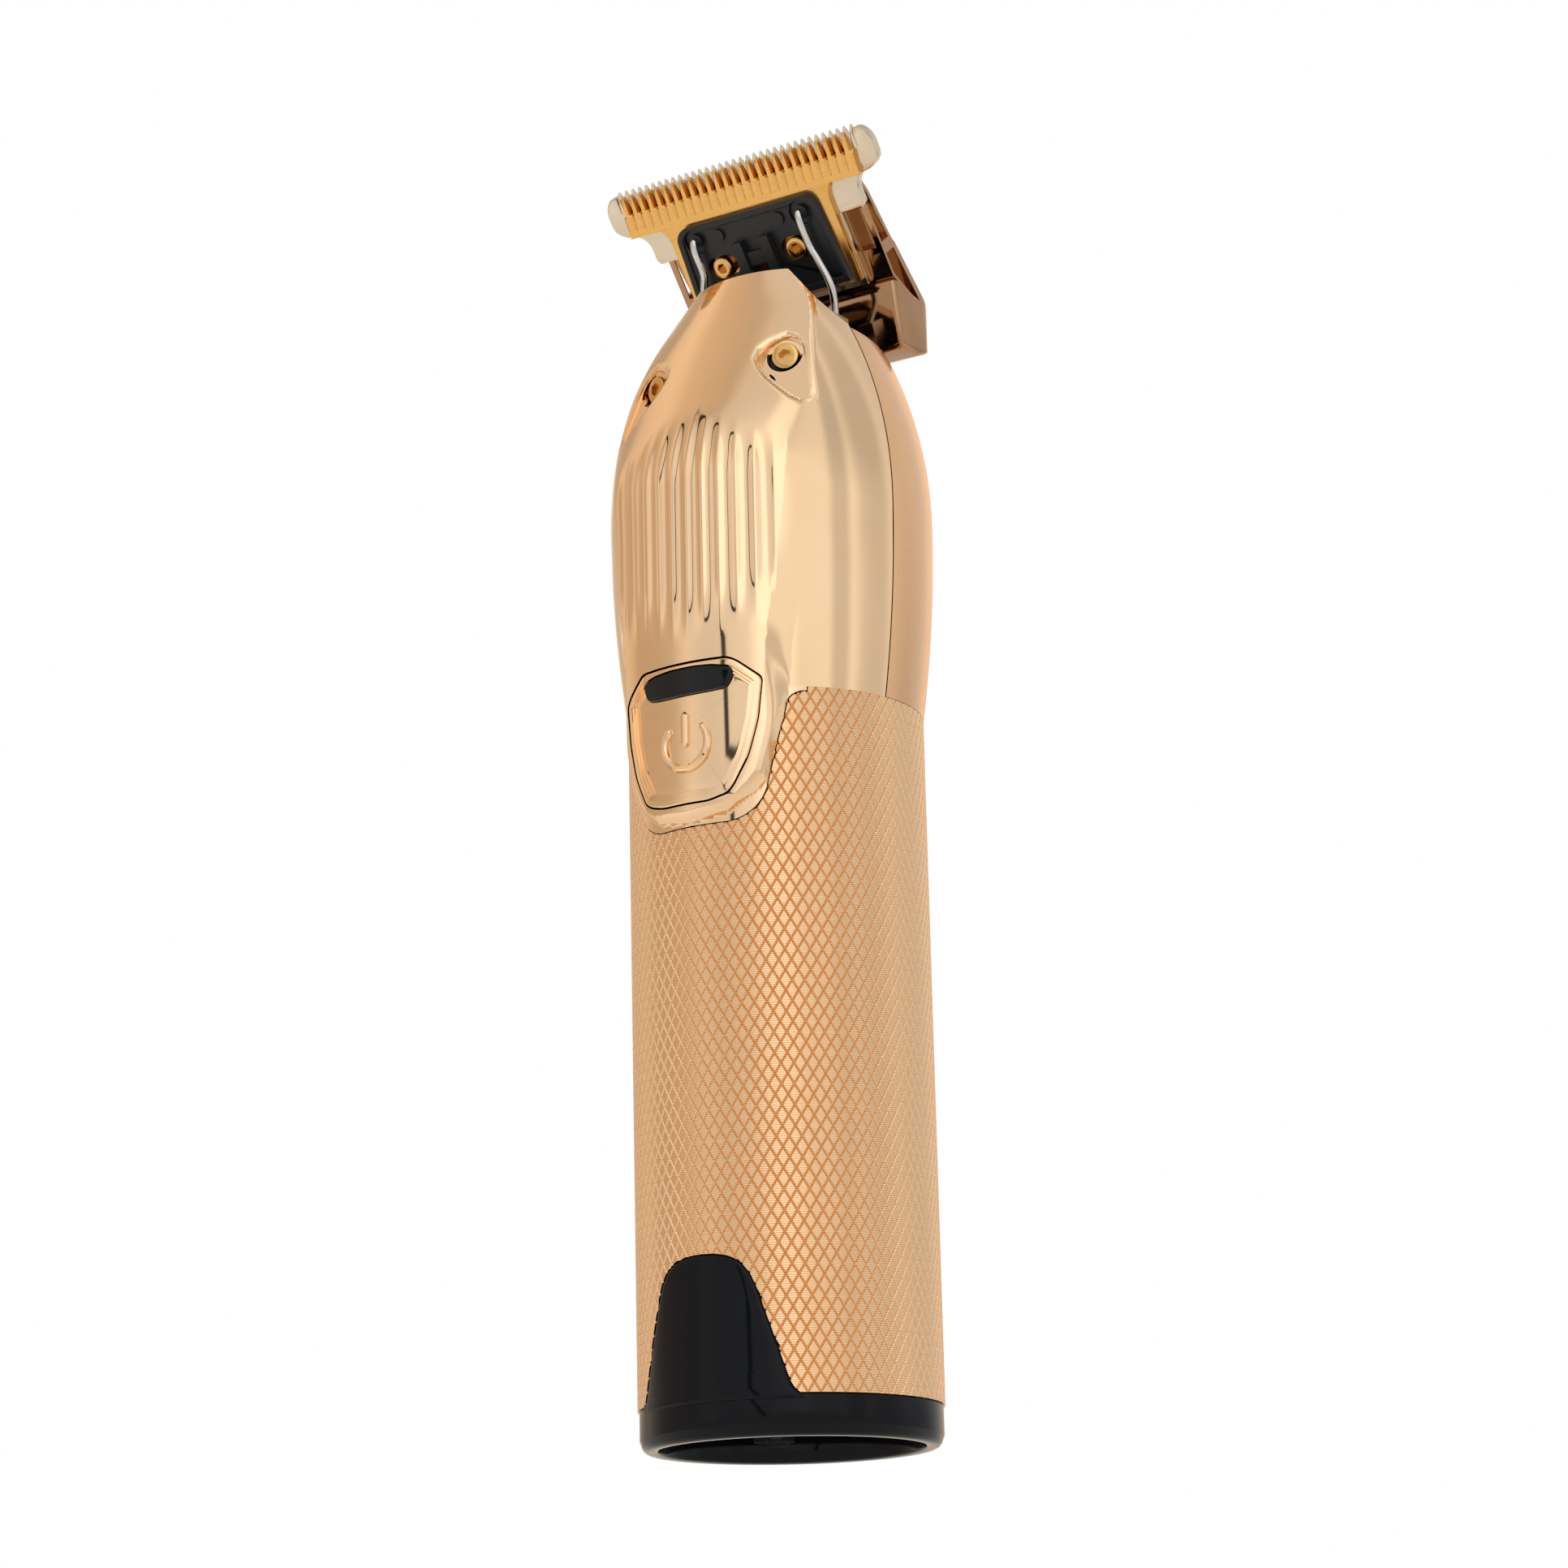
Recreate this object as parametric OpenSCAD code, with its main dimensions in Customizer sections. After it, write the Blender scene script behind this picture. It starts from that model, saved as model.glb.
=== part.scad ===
// Cordless hair clipper with a knurled metal grip, a two-shell head housing and a T-shaped blade.
// Origin: on the body axis, at the underside of the base rim. +Z up the body, -Y the button side.
// The blade slides along X. An eccentric on the motor shaft drives it.

/* [Grip] */
// Outer diameter of the knurled sleeve
sleeve_d = 38; // [34:0.5:46]
// Length of the knurled sleeve
sleeve_len = 87.5; // [84:0.5:106]
// Wall of the knurled sleeve
sleeve_wall = 1.2; // [0.8:0.1:1.6]
// Gap between a tongue and the sleeve notch that it fills
notch_gap = 0.12; // [0.05:0.01:0.25]

/* [Base] */
// Height of the base band below the sleeve
base_h = 5; // [4.6:0.1:8]
// How far the band stands in from the sleeve's surface
band_inset = 0.2; // [0.1:0.05:0.5]
// Width of the flat rim that the clipper stands on
rim_w = 1.4; // [1:0.1:2]
// Chamfer on the outer edge of the rim
rim_chamfer = 0.9; // [0.4:0.1:1.2]
// Height of the base tongue above the band
base_tongue_h = 17.1; // [12:0.1:22]
// Half width of the base tongue at its foot
base_tongue_w = 11.4; // [9:0.1:12.5]
// Bore of the charging jack's mouth
jack_bore_d = 5.5; // [4:0.1:6]
// Diameter of the charging jack's body
jack_d = 8; // [7.4:0.1:9]

/* [Housing] */
// Largest diameter of the housing above the sleeve
bulge_d = 41.9; // [39:0.1:48]
// Height of the widest point above the sleeve
bulge_up = 26.5; // [22:0.5:30]
// Height of the front cover's lip above the sleeve
lip_up = 59.8; // [59:0.1:62]
// Radius of the housing at the lip
lip_r = 9.4; // [9:0.1:10]
// Wall of the two covers
cover_wall = 1.8; // [1.4:0.1:2.2]
// Distance of the seam between the covers in front of the body axis
seam_fwd = 3; // [2:0.1:4]
// Width of the seam
seam_gap = 0.12; // [0.05:0.01:0.3]
// Number of flutes on the front cover
flute_count = 11; // [3:2:11]
// Distance between the flutes
flute_pitch = 2.22; // [2:0.01:2.3]
// Depth of a flute
flute_depth = 0.45; // [0.2:0.05:0.6]

/* [Button] */
// Travel of the power button
button_travel = 0.6; // [0.3:0.1:0.8]
// Gap round the power button
button_gap = 0.25; // [0.15:0.05:0.4]
// Height of the button platform over the sleeve's surface
platform_h = 1.5; // [1:0.1:1.8]
// How far the button stands out of its platform
button_proud = 0.35; // [0.1:0.05:0.45]

/* [Blade] */
// Angle of the blade plane from the vertical
blade_tilt = 38.5; // [36:0.5:41]
// Width of the fixed blade over its end teeth
blade_w = 42.4; // [38:0.2:48]
// Thickness of the fixed blade
blade_t = 1.6; // [1.2:0.1:1.8]
// Number of teeth on the fixed blade, without the two end teeth
blade_teeth = 35; // [21:1:41]
// Width of the moving blade
cutter_w = 37.2; // [34:0.2:40]
// Thickness of the moving blade
cutter_t = 1; // [0.8:0.1:1.2]
// Number of teeth on the moving blade
cutter_teeth = 27; // [15:1:31]
// Half of the moving blade's stroke, the throw of the eccentric
throw = 0.7; // [0.4:0.1:0.9]
// Gap between faces that slide on each other
slide_gap = 0.03; // [0.01:0.01:0.05]
// Thickness of the blade carrier's plate
carrier_t = 1.1; // [0.9:0.1:1.4]
// Diameter of the wire of the tension spring
wire_d = 1.1; // [0.8:0.1:1.3]
// Diameter of the head of a blade screw
blade_screw_head_d = 3; // [2.6:0.1:3.4]
// Diameter of the head of a cover screw
cover_screw_head_d = 4.2; // [3.6:0.1:4.4]

/* [Drive] */
// Diameter of the motor can
motor_d = 20.4; // [18:0.2:21]
// Length of the motor can
motor_len = 29; // [26:0.5:30]
// Distance across the motor can's flats
motor_flats = 15.4; // [14.6:0.2:16]
// Diameter of the motor shaft
shaft_d = 2; // [1.8:0.1:2.4]
// Radial clearance of the shaft in its bushes
shaft_gap = 0.04; // [0.02:0.01:0.06]
// Diameter of the drive pin
pin_d = 2.4; // [2:0.1:2.6]
// Clearance on each side of the drive pin in the yoke
yoke_gap = 0.24; // [0.2:0.01:0.4]

/* [Power] */
// Diameter of the battery cell
cell_d = 18.4; // [14:0.1:18.6]
// Length of the battery cell
cell_len = 65; // [50:1:65]
// Thickness of the circuit boards
board_t = 1.6; // [1:0.1:1.6]

/* [Hidden] */
$fn = 96;
eps = 0.01;
far = 60;

gold = "#dcb988";
satin_gold = "#d3a673";
blade_gold = "#d29b45";
black = "#26272c";
steel = "#c9c9cc";
green = "#1f5a3a";
brass = "#c8a85a";

// Heights along the body
z_sleeve = base_h;
z_top = z_sleeve + sleeve_len;
z_bulge = z_top + bulge_up;
z_lip = z_top + lip_up;
z_blade = z_top + 67.5;
r_sleeve = sleeve_d / 2;
r_bore = r_sleeve - sleeve_wall;
r_spigot = r_bore - 0.1;
r_bulge = bulge_d / 2;

// Two tangent arcs make the housing's side: one from the sleeve to the bulge, one on to the lip
low_rise = r_bulge - r_sleeve;
low_arc = (pow(bulge_up, 2) + pow(low_rise, 2)) / (2 * low_rise);
high_run = lip_up - bulge_up;
high_fall = r_bulge - lip_r;
high_arc = (pow(high_run, 2) + pow(high_fall, 2)) / (2 * high_fall);
function arc_of(z) = z < z_bulge ? low_arc : high_arc;
function r_body(z) = r_bulge - arc_of(z) + sqrt(pow(arc_of(z), 2) - pow(z - z_bulge, 2));
function mirrored(p) = concat(p, [for (i = [len(p) - 1:-1:0]) [-p[i][0], p[i][1]]]);
function arc_pts(c, r, a0, a1, n) =
    [for (i = [0:n]) let (a = a0 + (a1 - a0) * i / n) [c[0] + r * cos(a), c[1] + r * sin(a)]];
function grown(p, c, g) = [for (q = p) c + (q - c) * (1 + g / norm(q - c))];

// Flat that leans back to the lip of the front cover
facet_y = 7.0;
facet_slope = 0.5;
// Roof of the front cover: flat in the middle, then down to the seam on both sides
roof_half = 7.1;
roof_drop = 1.154;

// Button, its window and its platform, seen from the front
z_button = z_top - 5.5;
button_c = [0, z_button];
button_pts = mirrored([[3.5, z_top - 14.2], [6.1, z_top - 13.4], [8.3, z_top - 9.2], [9.5, z_top - 4.7],
    [10.1, z_top + 0.7], [6.4, z_top + 3.4]]);
lens_pts = mirrored([[5, z_top + 0.2], [6.5, z_top + 2.5]]);
tongue_z = z_top - 16.9;
cover_tongue_pts = concat(
    arc_pts([4.6, tongue_z + 5], 5, -90, -12, 8),
    [[11.7, z_top - 2.5]],
    arc_pts([13.7, z_top - 2.5], 2, 180, 90, 6),
    [[13.7, z_top + 0.6], [12.6, z_top + 3], [8, z_top + 5.6]]);
r_platform = r_sleeve + platform_h;
r_button = r_platform + button_proud;
r_tongue_in = r_spigot - 0.8;

// Base: band, recess and tongue
r_band = r_sleeve - band_inset;
r_rim = r_band - rim_chamfer;
r_recess = r_rim - rim_w;
plate_t = 1.5;
z_plate = base_h - 0.5;
spigot_h = 8;
base_tongue_pts = mirrored(concat(
    [[base_tongue_w, z_sleeve], [base_tongue_w - 0.9, z_sleeve + 1.6],
     [base_tongue_w - 2.4, z_sleeve + 8.5]],
    arc_pts([base_tongue_w - 7.5, z_sleeve + base_tongue_h - 4], 4, 10, 90, 7)));

// Jack and charging board
jack_len = 10;
jack_mouth = 2.5;
z_charge = z_plate + jack_len;

// Battery and its holder
z_cell = z_charge + board_t + 3.9;
cell_y = 1;
holder_wall = 1.3;
holder_in = cell_d / 2 + 0.1;
holder_out = holder_in + holder_wall;
flange_t = 2.4;
tab_t = 0.4;
z_holder = z_cell - tab_t - flange_t;
z_motor_deck = z_top + 7.5;

// Main board, switch and lamps
board_y = -12.4;
board_half = holder_out - 0.2;
z_board = z_top - 42.5;
board_len = 50;
switch_w = 6;
switch_h = 3.5;
plunger_r = 1.6;

// Motor, fixed at its top end
z_motor = z_top + 41.5;
z_motor_foot = z_motor - motor_len;
can_wall = 0.7;
deck_t = 1.4;
bush_r = 3;
frame_t = 3.2;
bracket_screw_x = 5;
bracket_screw_y = 10.6;
cam_r = 4.4;
z_cam = z_motor + 4.5;
cam_h = 5;
pin_top = z_blade - 8.4;

// Blade stack, in the blade plane's own frame: x across, y up the blade, z towards the front
tip_y = 11.4;
root_y = 8.7;
fixed_top = 1;
cutter_z = fixed_top + slide_gap;
cutter_tip_y = 10.9;
cutter_root_y = 8.0;
stem_half = 12.7;
neck_half = 16.6;
carrier_z = cutter_z + cutter_t;
carrier_top = carrier_z + carrier_t;
carrier_half = 11.2;
spring_h = carrier_top + 0.9;
blade_screw_x = 5.9;
blade_screw_y = -1.7;
hook_x = 8.4;
hook_y = 2.7;
rivet_x = 4.8;
rivet_y = 2.7;
yoke_half = pin_d / 2 + yoke_gap;
yoke_wall = 1.4;

// Cover screws: level, turned out from straight ahead
cover_screw_pos = [10.4, -11.6, z_top + 45.2];
cover_screw_turn = 20;

module blade_frame() {
    translate([0, 0, z_blade]) rotate([90 + blade_tilt, 0, 0]) children();
}

// Extrudes an outline drawn in X and Z from the front, through all of the front half
module from_front(pts, depth = far) {
    rotate([90, 0, 0]) linear_extrude(depth) polygon(pts);
}

// Extrudes an outline drawn in Y and Z along X, centred
module across(pts, width) {
    rotate([90, 0, 90]) translate([0, 0, -width / 2]) linear_extrude(width) polygon(pts);
}

module ring(r_out, r_in, h) {
    difference() {
        cylinder(r = r_out, h = h);
        translate([0, 0, -1]) cylinder(r = r_in, h = h + 2);
    }
}

module screw(head_r, head_h, shank_r, len) {
    difference() {
        union() {
            cylinder(r = head_r, h = head_h);
            translate([0, 0, -len]) cylinder(r = shank_r, h = len + eps);
        }
        translate([0, 0, head_h * 0.35]) cylinder(r = head_r * 0.5, h = head_h, $fn = 6);
    }
}

// ---- Base -------------------------------------------------------------------------------------

module base_cap() {
    color(black) difference() {
        union() {
            rotate_extrude() polygon([[r_recess, 0], [r_rim, 0], [r_band, rim_chamfer], [r_band, z_sleeve],
                [r_spigot, z_sleeve], [r_spigot, z_sleeve + spigot_h], [r_recess, z_sleeve + spigot_h]]);
            intersection() {
                translate([0, 0, z_sleeve - 1]) ring(r_sleeve, r_bore - 0.05, base_tongue_h + 2);
                from_front(base_tongue_pts);
            }
            intersection() {
                translate([0, 0, z_sleeve]) ring(r_sleeve - 0.3, r_recess, spigot_h);
                from_front(base_tongue_pts);
            }
        }
        translate([0, 0, z_plate]) cylinder(r = r_recess + 0.4, h = plate_t + 0.1);
    }
}

module socket_plate() {
    lug_r = 2.2;
    color(black) difference() {
        union() {
            translate([0, 0, z_plate]) cylinder(r = r_recess + 0.35, h = plate_t);
            for (x = [-7.2, 7.2], y = [-12.2, 12.2])
                translate([x, y, z_plate - 1.1]) cylinder(r = lug_r, h = 1.2);
        }
        translate([0, 0, z_plate - 1]) cylinder(d = jack_d + 0.1, h = plate_t + 2);
    }
}

module jack_housing() {
    color(black) translate([0, 0, z_plate]) difference() {
        cylinder(d = jack_d, h = jack_len);
        translate([0, 0, -1]) cylinder(d = jack_bore_d, h = jack_mouth + 1);
        translate([0, 0, jack_mouth]) cylinder(d = jack_d - 1.7, h = jack_len - jack_mouth - 1);
        cylinder(r = 0.8, h = jack_len + 1);
    }
}

module jack_pin() {
    color(brass) translate([0, 0, z_plate + jack_mouth + 0.3])
        cylinder(r = 0.8, h = jack_len - jack_mouth - 0.3);
}

module charge_board() {
    color(green) translate([0, 0, z_charge]) union() {
        cylinder(r = r_recess - 2, h = board_t);
        translate([5, -3, board_t - eps]) cube([5, 6, 1]);
        translate([-10, -2, board_t - eps]) cube([4, 4, 0.8]);
    }
}

// ---- Grip -------------------------------------------------------------------------------------

module knurled_sleeve() {
    color(satin_gold) difference() {
        translate([0, 0, z_sleeve]) ring(r_sleeve, r_bore, sleeve_len);
        from_front(grown(base_tongue_pts, [0, z_sleeve + 5], notch_gap));
        from_front(mirrored(grown(cover_tongue_pts, [0, z_top], notch_gap)));
    }
}

module battery_holder() {
    leg_y = board_y + board_t;
    wall_foot = z_board + 3;
    color("#3a3c42") difference() {
        union() {
            translate([0, 0, z_holder]) cylinder(r = r_bore - 0.2, h = flange_t);
            translate([0, cell_y, z_holder]) cylinder(r = holder_out, h = z_motor_deck - z_holder);
            for (s = [-1, 1])
                translate([s > 0 ? holder_in : -holder_out, leg_y, wall_foot])
                    cube([holder_wall, cell_y - leg_y, z_motor_deck - 6 - wall_foot]);
            translate([0, 0, z_motor_deck - flange_t])
                intersection() {
                    cylinder(r = r_bore - 2.2, h = flange_t);
                    translate([-far, leg_y, -1]) cube([2 * far, far, flange_t + 2]);
                }
        }
        translate([0, cell_y, z_cell - tab_t]) cylinder(r = holder_in, h = z_motor_deck);
        translate([-6, -far, z_cell + 3]) cube([12, far, z_motor_deck - 2 * flange_t - z_cell - 3]);
        translate([0, -cell_d / 2 - 1, z_holder - 1]) cylinder(r = 2, h = flange_t + 2);
        translate([-6.4, -far, z_motor_deck - flange_t - 1]) cube([12.8, far - 6, flange_t + 2]);
    }
}

module battery_cell() {
    color("#2f6fae") translate([0, cell_y, z_cell]) union() {
        cylinder(d = cell_d, h = cell_len - 1);
        translate([0, 0, cell_len - 1 - eps]) cylinder(r = 3, h = 1 + eps);
    }
}

module battery_tab_bottom() {
    color(steel) translate([-4, cell_y - cell_d / 2 + 1, z_cell - tab_t])
        cube([8, cell_d - 2, tab_t]);
}

module battery_tab_top() {
    color(steel) translate([-3, cell_y - cell_d / 2 + 1, z_cell + cell_len])
        cube([6, cell_d - 2, tab_t]);
}

module main_board() {
    color(green) difference() {
        translate([-board_half, board_y, z_board]) cube([2 * board_half, board_t, board_len]);
        for (x = [-1, 1], z = [3, board_len - 3])
            translate([x * (board_half - 2), board_y - 1, z_board + z])
                rotate([-90, 0, 0]) cylinder(r = 0.9, h = board_t + 2);
    }
}

module tact_switch() {
    color("#2b2b2b") difference() {
        translate([-switch_w / 2, board_y - switch_h, z_button - switch_w / 2])
            cube([switch_w, switch_h, switch_w]);
        translate([0, board_y - switch_h - 1, z_button]) rotate([-90, 0, 0])
            cylinder(r = plunger_r + 0.08, h = switch_h);
    }
}

module light_guide() {
    color("#e8e8e8") difference() {
        translate([-4.6, board_y - 5, z_top + 0.4]) cube([9.2, 5, 2]);
        translate([-4, board_y - 1.2, z_top + 0.1]) cube([8, 2, 2.6]);
    }
}

module indicator_leds() {
    color("#f4f0d8") for (x = [-3, 0, 3])
        translate([x - 0.8, board_y - 0.9, z_top + 0.8]) cube([1.6, 0.9, 1.2]);
}

// A lead or wire in straight stretches, with a slightly larger ball at each bend
module lead(pts, d = 1.2) {
    for (i = [0:len(pts) - 2]) {
        run = pts[i + 1] - pts[i];
        translate(pts[i]) rotate([0, acos(run[2] / norm(run)), atan2(run[1], run[0])])
            cylinder(d = d, h = norm(run), $fn = 16);
        if (i > 0) translate(pts[i]) sphere(d = d * 1.08, $fn = 16);
    }
}

module battery_leads() {
    y = board_y + board_t + 0.75;
    color("#b03030") for (x = [-3, 3])
        lead([[x, y, z_board + 8], [x, y, z_cell + 5], [x, y + 0.2, z_holder + flange_t + 0.8]]);
}

module motor_leads() {
    y = board_y + board_t + 0.75;
    color("#b03030") for (x = [-5, 5])
        lead([[x, y, z_board + board_len - 8], [x, y + 1.5, z_motor_deck - 1.2],
              [x, -6.6, z_motor_foot - 1.8]]);
}

// ---- Covers -----------------------------------------------------------------------------------

// Solid of the housing's outside, drawn in by inset all round
module housing(inset, z0, z1) {
    steps = 30;
    fy = facet_y - inset * 1.1;
    intersection() {
        rotate_extrude() polygon(concat([[0, z0]],
            [for (i = [0:steps]) let (z = z0 + (z1 - z0) * i / steps) [r_body(z) - inset, z]], [[0, z1]]));
        across([[far, z0 - 1], [-fy - facet_slope * (z_lip - z0 + 1), z0 - 1],
            [-fy + facet_slope * (z1 + 1 - z_lip), z1 + 1], [far, z1 + 1]], 2 * far);
    }
}

module housing_shell(z0, z1) {
    difference() {
        housing(0, z0, z1);
        housing(cover_wall, z0 - eps, z1 + eps);
    }
}

module screw_place() {
    for (s = [-1, 1])
        translate([s * cover_screw_pos[0], cover_screw_pos[1], cover_screw_pos[2]])
            rotate([90, 0, s * cover_screw_turn]) children();
}

module flutes() {
    run = 22;
    for (i = [-(flute_count - 1) / 2:(flute_count - 1) / 2]) {
        x = i * flute_pitch;
        y = sqrt(pow(r_bulge, 2) - pow(x, 2));
        translate([x, -y + flute_depth - flute_pitch * 0.62, z_bulge - run * 0.62])
            cylinder(r = flute_pitch * 0.62, h = run, $fn = 24);
    }
}

module front_cover() {
    color(gold) difference() {
        union() {
            intersection() {
                housing_shell(z_top, z_lip);
                translate([-far, -far - seam_fwd - seam_gap / 2, 0]) cube([2 * far, far, 4 * far]);
            }
            intersection() {
                translate([0, 0, tongue_z - 1]) ring(r_platform, r_tongue_in, z_top + 6 - tongue_z);
                from_front(mirrored(cover_tongue_pts));
            }
            intersection() {
                screw_place() translate([0, 0, -2]) cylinder(r = cover_screw_head_d / 2 + 1.2, h = 8);
                housing(0.2, z_top, z_lip);
            }
        }
        from_front(button_pts);
        screw_place() {
            cylinder(r = cover_screw_head_d / 2 + 0.2, h = far);
            translate([0, 0, -far / 2]) cylinder(r = 1.1, h = far);
        }
        for (s = [-1, 1]) {
            roof_cut = [[s * roof_half, z_lip], [s * far, z_lip - roof_drop * (far - roof_half)],
                [s * far, z_lip + 1], [s * roof_half, z_lip + 1]];
            rotate([90, 0, 0]) linear_extrude(far) polygon(roof_cut);
        }
        flutes();
    }
}

module rear_cover() {
    color(satin_gold) difference() {
        union() {
            intersection() {
                housing_shell(z_top, z_top + 50.6);
                translate([-far, -seam_fwd + seam_gap / 2, 0]) cube([2 * far, far, 4 * far]);
            }
            intersection() {
                translate([0, 0, z_top - 6]) ring(r_spigot, r_spigot - 1.3, 7.5);
                translate([-far, 1, 0]) cube([2 * far, far, 4 * far]);
            }
        }
        across([[-far, z_top + 51.1], [-seam_fwd, z_top + 50.4], [far, z_top + 39.4], [far, z_top + 60],
            [-far, z_top + 60]], 2 * far);
    }
}

module cover_screws() {
    color(gold) screw_place() screw(cover_screw_head_d / 2, 1.4, 1, 7);
}

// ---- Motor ------------------------------------------------------------------------------------

module can_outline(grow = 0) {
    intersection() {
        circle(r = motor_d / 2 + grow);
        square([2 * motor_d, motor_flats + 2 * grow], center = true);
    }
}

module motor_can() {
    color(steel) translate([0, 0, z_motor_foot + 1.5]) difference() {
        linear_extrude(motor_len - 1.5) can_outline();
        translate([0, 0, -1]) linear_extrude(motor_len - 0.5 - can_wall) can_outline(-can_wall);
        cylinder(r = bush_r, h = motor_len + 1);
        for (x = [-6.5, 6.5]) translate([x, 0, 0]) cylinder(r = 0.9, h = motor_len + 1);
    }
}

module motor_magnets() {
    h = motor_len - 10;
    color("#44464a") translate([0, 0, z_motor_foot + 5]) intersection() {
        difference() {
            linear_extrude(h) can_outline(-can_wall);
            translate([0, 0, -1]) cylinder(r = 6.6, h = h + 2);
        }
        for (s = [-1, 1]) translate([s * 8, 0, h / 2]) cube([5.6, 10, h + 2], center = true);
    }
}

module motor_endcap() {
    color("#d8d8d4") translate([0, 0, z_motor_foot]) difference() {
        union() {
            linear_extrude(1.5) can_outline();
            linear_extrude(3) can_outline(-can_wall);
        }
        translate([0, 0, -1]) cylinder(r = bush_r, h = 5);
        for (x = [-5, 5]) translate([x - 0.6, -5.2, -1]) cube([1.2, 0.6, 5]);
    }
}

module motor_terminals() {
    color(brass) for (x = [-5, 5])
        translate([x - 0.6, -5.2, z_motor_foot - 2.2]) cube([1.2, 0.6, 5]);
}

module bush_front() {
    color(brass) translate([0, 0, z_motor - 1.6]) ring(bush_r, shaft_d / 2 + shaft_gap, 3.4);
}

module bush_rear() {
    color(brass) translate([0, 0, z_motor_foot]) ring(bush_r, shaft_d / 2 + shaft_gap, 2.6);
}

module motor_mount() {
    color(black) difference() {
        translate([0, 0, z_motor_deck]) intersection() {
            cylinder(r = motor_d / 2 + 3.4, h = z_motor + deck_t - z_motor_deck);
            translate([0, 0, far / 2]) cube([far, motor_flats + 1.8, far * 2], center = true);
        }
        translate([0, 0, z_motor_deck - 1]) linear_extrude(z_motor - z_motor_deck + 1) can_outline(0.05);
        cylinder(r = bush_r + 0.05, h = 4 * far);
        for (x = [-6.5, 6.5]) translate([x, 0, 0]) cylinder(r = 1.05, h = 4 * far);
        for (s = [-1, 1]) translate([0, s * 12, z_motor_deck + 12]) rotate([90, 0, 0])
            cylinder(r = 6, h = 12, center = true);
        translate([-6.4, -far, z_motor_deck - 1]) cube([12.8, far, 6]);
    }
}

module motor_screws() {
    color(steel) for (x = [-6.5, 6.5])
        translate([x, 0, z_motor + deck_t]) screw(1.7, 1.1, 0.85, deck_t + 2);
}

module head_frame() {
    h = frame_t;
    z0 = z_motor + deck_t;
    color(black) difference() {
        union() {
            translate([0, 0, z0]) intersection() {
                cylinder(r = r_body(z0 + h) - cover_wall - 0.3, h = h);
                translate([-far, -6.4, -1]) cube([2 * far, far, h + 2]);
            }
            intersection() {
                screw_place() translate([0, 0, -6.4]) cylinder(r = 2.6, h = 4.3);
                housing(cover_wall + 0.2, z0, z_lip);
            }
        }
        cylinder(r = cam_r + 0.8, h = 4 * far);
        for (x = [-6.5, 6.5]) translate([x, 0, z0 - 1]) cylinder(r = 2, h = 2.4);
        screw_place() translate([0, 0, -8]) cylinder(r = 1, h = 10);
        for (x = [-bracket_screw_x, bracket_screw_x])
            translate([x, bracket_screw_y, z0 - 1]) cylinder(r = 1.05, h = h + 2);
    }
}

module bracket_screws() {
    z0 = z_motor + deck_t;
    color(steel) for (x = [-bracket_screw_x, bracket_screw_x])
        translate([x, bracket_screw_y, z0]) mirror([0, 0, 1]) screw(1.9, 1.2, 1, 9);
}

// ---- Rotor ------------------------------------------------------------------------------------

module rotor_shaft() {
    color(steel) translate([0, 0, z_motor_foot - 1]) cylinder(d = shaft_d, h = z_cam + 3 - z_motor_foot + 1);
}

module armature() {
    color("#8a4b2a") translate([0, 0, z_motor_foot + 4.4]) union() {
        ring(2.4, shaft_d / 2, 3);
        translate([0, 0, 2.6]) ring(6.1, shaft_d / 2, motor_len - 10.4);
    }
}

module eccentric_cam() {
    color("#e6e2d4") difference() {
        translate([0, 0, z_cam]) cylinder(r = cam_r, h = cam_h);
        translate([0, 0, z_cam - 1]) cylinder(d = shaft_d, h = 4);
        translate([0, -throw, z_cam + 3.2]) cylinder(d = pin_d, h = cam_h);
        translate([-far, 2.6, z_cam + 3.2]) cube([2 * far, far, cam_h]);
    }
}

module drive_pin() {
    color(steel) translate([0, -throw, z_cam + 3.2]) cylinder(d = pin_d, h = pin_top - z_cam - 3.2);
}

// ---- Blade set --------------------------------------------------------------------------------

// Right half of a comb edge: square gaps between n teeth, from x = half down to 0
function comb(half, n, tip, root, slim) =
    let (pitch = 2 * half / n)
    [for (i = [0:n - 1]) let (x = half - pitch * (i + 0.5))
        each [[x + pitch * slim, root], [x + pitch * slim * 0.45, tip], [x - pitch * slim * 0.45, tip],
              [x - pitch * slim, root]]];

module fixed_blade() {
    half = blade_w / 2;
    comb_half = half - 2;
    heel_y = -9.5;
    color(blade_gold) blade_frame() difference() {
        translate([0, 0, fixed_top - blade_t]) linear_extrude(blade_t) polygon(concat(
            [[half - 2, tip_y - 0.6], [half - 1.4, tip_y - 0.4], [half - 0.4, tip_y - 1.2],
             [half, tip_y - 2.4], [half, 6.8], [half - 0.8, 5.8], [half - 2.6, 5.2]],
            arc_pts([neck_half + 2.4, 2.8], 2.4, 90, 180, 5),
            [[neck_half, heel_y], [-neck_half, heel_y]],
            arc_pts([-neck_half - 2.4, 2.8], 2.4, 0, 90, 5),
            [[2.6 - half, 5.2], [0.8 - half, 5.8], [-half, 6.8], [-half, tip_y - 2.4],
             [0.4 - half, tip_y - 1.2], [1.4 - half, tip_y - 0.4], [2 - half, tip_y - 0.6]],
            [for (p = comb(comb_half, blade_teeth, tip_y, root_y, 0.36)) [-p[0], p[1]]]));
        across([[root_y - 1.6, fixed_top - blade_t - 1], [root_y - 1.6, fixed_top - blade_t],
            [tip_y + 0.5, fixed_top - 0.3], [tip_y + 0.5, fixed_top - blade_t - 1]], 2 * far);
        for (x = [-blade_screw_x, blade_screw_x])
            translate([x, blade_screw_y, -4]) cylinder(r = 1.05, h = 8);
    }
}

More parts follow.
